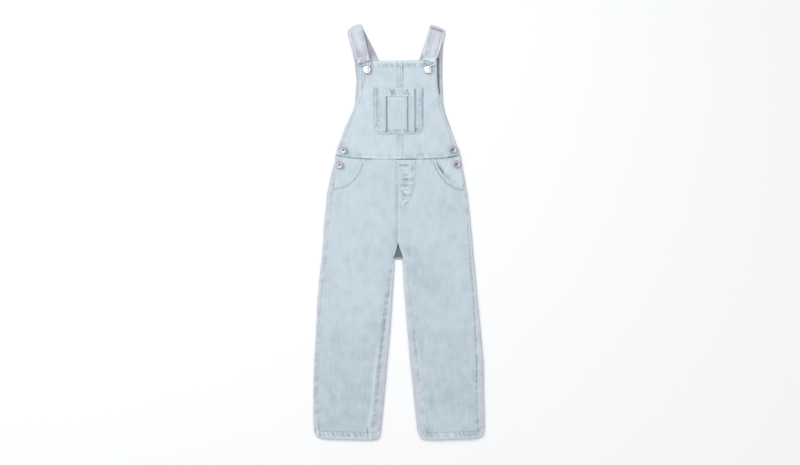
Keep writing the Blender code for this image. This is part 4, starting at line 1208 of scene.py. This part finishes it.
def turnButton(name, node, x, y, seat, shank, lean, domed):
    radius = buttonLook["radius"] * mm
    bpy.ops.object.select_all(action="DESELECT")
    bpy.ops.mesh.primitive_cylinder_add(vertices=40, radius=buttonLook["foot"] * mm, depth=shank * mm,
                                        location=(0, 0, shank / 2 * mm))
    obj = bpy.context.object
    obj.name = obj.data.name = name
    bpy.ops.object.transform_apply(location=True, rotation=False, scale=False)
    top = shank * mm
    pickFaces(obj, lambda c, n: n.z > 0.9)
    # the shank narrows, then the head spreads out of it and is rolled at its rim
    bpy.ops.transform.resize(value=(0.8, 0.8, 1))
    steps = [(radius / (0.8 * buttonLook["foot"] * mm), 0.5), (1.03, 1.0), (0.97, 0.7)]
    for scale, lift in steps:
        bpy.ops.mesh.extrude_region_move(TRANSFORM_OT_translate={"value": (0, 0, lift * mm)})
        bpy.ops.transform.resize(value=(scale, scale, 1))
    if domed:
        dome = [(0.86, 0.28), (0.80, -0.10), (0.82, 0.30), (0.72, 0.30), (0.55, 0.18), (0.4, 0.05)]
    else:
        dome = [(0.88, 0.25), (0.86, -0.35), (0.78, -0.95), (0.62, -0.25), (0.55, 0.55), (0.45, 0.1)]
    for scale, lift in dome:
        bpy.ops.mesh.extrude_region_move(TRANSFORM_OT_translate={"value": (0, 0, lift * mm)})
        bpy.ops.transform.resize(value=(scale, scale, 1))
    bpy.ops.mesh.select_all(action="SELECT")
    bpy.ops.mesh.normals_make_consistent(inside=False)
    bpy.ops.object.mode_set(mode="OBJECT")
    smoothing = obj.modifiers.new("smoothing", "SUBSURF")
    smoothing.levels = smoothing.render_levels = 2
    bpy.ops.object.modifier_apply(modifier=smoothing.name)
    obj.rotation_euler.y = math.radians(lean)
    lift = buttonLook["foot"] * math.sin(abs(math.radians(lean)))
    obj.location = (x * mm, y * mm, (seat + lift) * mm)
    bpy.ops.object.transform_apply(location=True, rotation=True, scale=False)
    obj.data.materials.append(buttonMetal if domed else ringMetal)
    obj.data.materials.append(hollowMetal)
    # painted shade: a domed button is dark round its rolled rim, a ring button down in its middle
    middle = Vector((x * mm, y * mm, 0))
    for polygon in obj.data.polygons:
        away = (Vector((*polygon.center[:2], 0)) - middle).length / radius
        polygon.material_index = int(away > 0.93 if domed else away < 0.34)
    bpy.ops.object.shade_smooth()
    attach(obj, "root")
    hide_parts(node)
    return obj


def seatOf(node):
    # The lowest point of a button's own frame solid
    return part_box(node)[0].z / mm


for side, (x, y) in buttonLook["bib"].items():
    node = "bib_button_" + side
    turnButton("bibButton" + side.title(), node, x, y, seatOf(node), buttonLook["bibShank"], 0, True)
for place, (x, y) in buttonLook["sides"].items():
    node = "side_button_" + place
    outward = -1 if place.startswith("left") else 1
    title = "".join(word.title() for word in place.split("_"))
    turnButton("sideButton" + title, node, x, y, seatOf(node), buttonLook["sideShank"],
               outward * buttonLook["lean"], False)

hookLook = {"wire": 1.0, "ring": 8.9, "overhang": 0.05, "drop": 5.0}


def wireHook(side):
    # Closed wire: a bar in the strap's loop, two sides that lean in, and a ring round the button
    centreX, centreY = buttonLook["bib"][side]
    lx, ly, rx, ry, z = strapTable[side]["loop"]
    barZ = z + strapLook["loopRadius"]
    ringZ = 2 * (wall + gap) + 0.9 + hookLook["wire"]
    ends = [(lx + (rx - lx) * share, ly + (ry - ly) * share, barZ)
            for share in (1 + hookLook["overhang"], -hookLook["overhang"])]
    length = math.hypot(rx - lx, ry - ly)
    down = np.array([(ry - ly) / length, (lx - rx) / length, 0]) * hookLook["drop"]
    ring = []
    for step in range(29):
        angle = math.radians(55 - 290 * step / 28)
        ring.append((centreX + hookLook["ring"] * math.cos(angle),
                     centreY + hookLook["ring"] * math.sin(angle), ringZ))
    corners = [tuple(np.array(end) + down) for end in ends]
    path = np.array([ends[1], ends[0], corners[0], *ring, corners[1]])
    bpy.ops.object.select_all(action="DESELECT")
    bpy.ops.curve.primitive_nurbs_path_add()
    obj = bpy.context.object
    obj.name = obj.data.name = "wireHook" + side.title()
    obj.data.splines.clear()
    spline = obj.data.splines.new("POLY")
    fine = []
    # each corner is bent on a radius of about 2 mm
    count = len(path)
    for index in range(count):
        before, here, after = path[index - 1], path[index], path[(index + 1) % count]
        reachIn = min(2.0, np.linalg.norm(before - here) / 2.2) / max(np.linalg.norm(before - here), 1e-9)
        reachOut = min(2.0, np.linalg.norm(after - here) / 2.2) / max(np.linalg.norm(after - here), 1e-9)
        a, b = here + (before - here) * reachIn, here + (after - here) * reachOut
        for t in np.linspace(0, 1, 5):
            fine.append(a * (1 - t) ** 2 + here * 2 * t * (1 - t) + b * t ** 2)
    spline.points.add(len(fine) - 1)
    spline.use_cyclic_u = True
    for point, spot in zip(spline.points, fine):
        point.co = (*[value * mm for value in spot], 1)
    obj.data.dimensions = "3D"
    obj.data.bevel_depth = hookLook["wire"] * mm
    obj.data.bevel_resolution = 3
    bpy.ops.object.convert(target="MESH")
    obj = bpy.context.object
    obj.data.materials.clear()
    obj.data.materials.append(wireMetal)
    bpy.ops.object.shade_smooth()
    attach(obj, "root")
    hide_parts("strap_hook_" + side)
    return obj


for side in ("left", "right"):
    wireHook(side)
print("buttons and hooks made")

stageLook = {"floor": "#f2f3f4", "floorSize": 8.0, "wideMetres": 1.76, "distance": 6.0, "sensor": 36.0,
             "aim": (0.0022, -0.0011)}
bpy.ops.object.select_all(action="DESELECT")
bpy.ops.mesh.primitive_plane_add(size=stageLook["floorSize"], location=(0, 0, -0.0002))
floor = bpy.context.object
floor.name = "studioFloor"
floorPaint = bpy.data.materials.new("paleStudioFloor")
floorPaint.use_nodes = True
floorPaint.node_tree.nodes["Principled BSDF"].inputs["Base Color"].default_value = linear(stageLook["floor"])
floorPaint.node_tree.nodes["Principled BSDF"].inputs["Roughness"].default_value = 0.9
floor.data.materials.append(floorPaint)

scene = bpy.context.scene
scene.view_settings.view_transform = "Standard"
world = bpy.data.worlds.new("softStudio")
world.use_nodes = True
world.node_tree.nodes["Background"].inputs["Color"].default_value = linear("#fafafa")
world.node_tree.nodes["Background"].inputs["Strength"].default_value = 0.57
scene.world = world

# name, place, aim, size, watts
softboxes = [
    ("keySoftbox", (-1.9, 1.5, 2.3), (0, 0, 0), 1.6, 54),
    ("fillSoftbox", (2.0, -1.2, 2.6), (0, 0, 0), 2.2, 20),
    ("overheadSoftbox", (-0.4, 0.5, 3.2), (0, 0, 0), 1.8, 19),
]
for name, place, aim, size, watts in softboxes:
    bpy.ops.object.select_all(action="DESELECT")
    bpy.ops.object.light_add(type="AREA", location=place)
    lamp = bpy.context.object
    lamp.name = name
    lamp.data.energy = watts
    lamp.data.size = size
    lamp.rotation_euler = (Vector(aim) - Vector(place)).to_track_quat("-Z", "Y").to_euler()

bpy.ops.object.camera_add(location=(*stageLook["aim"], stageLook["distance"]), rotation=(0, 0, 0))
camera = bpy.context.object
camera.data.sensor_width = stageLook["sensor"]
camera.data.lens = stageLook["sensor"] * stageLook["distance"] / stageLook["wideMetres"]
camera.data.clip_end = 50
scene.camera = camera
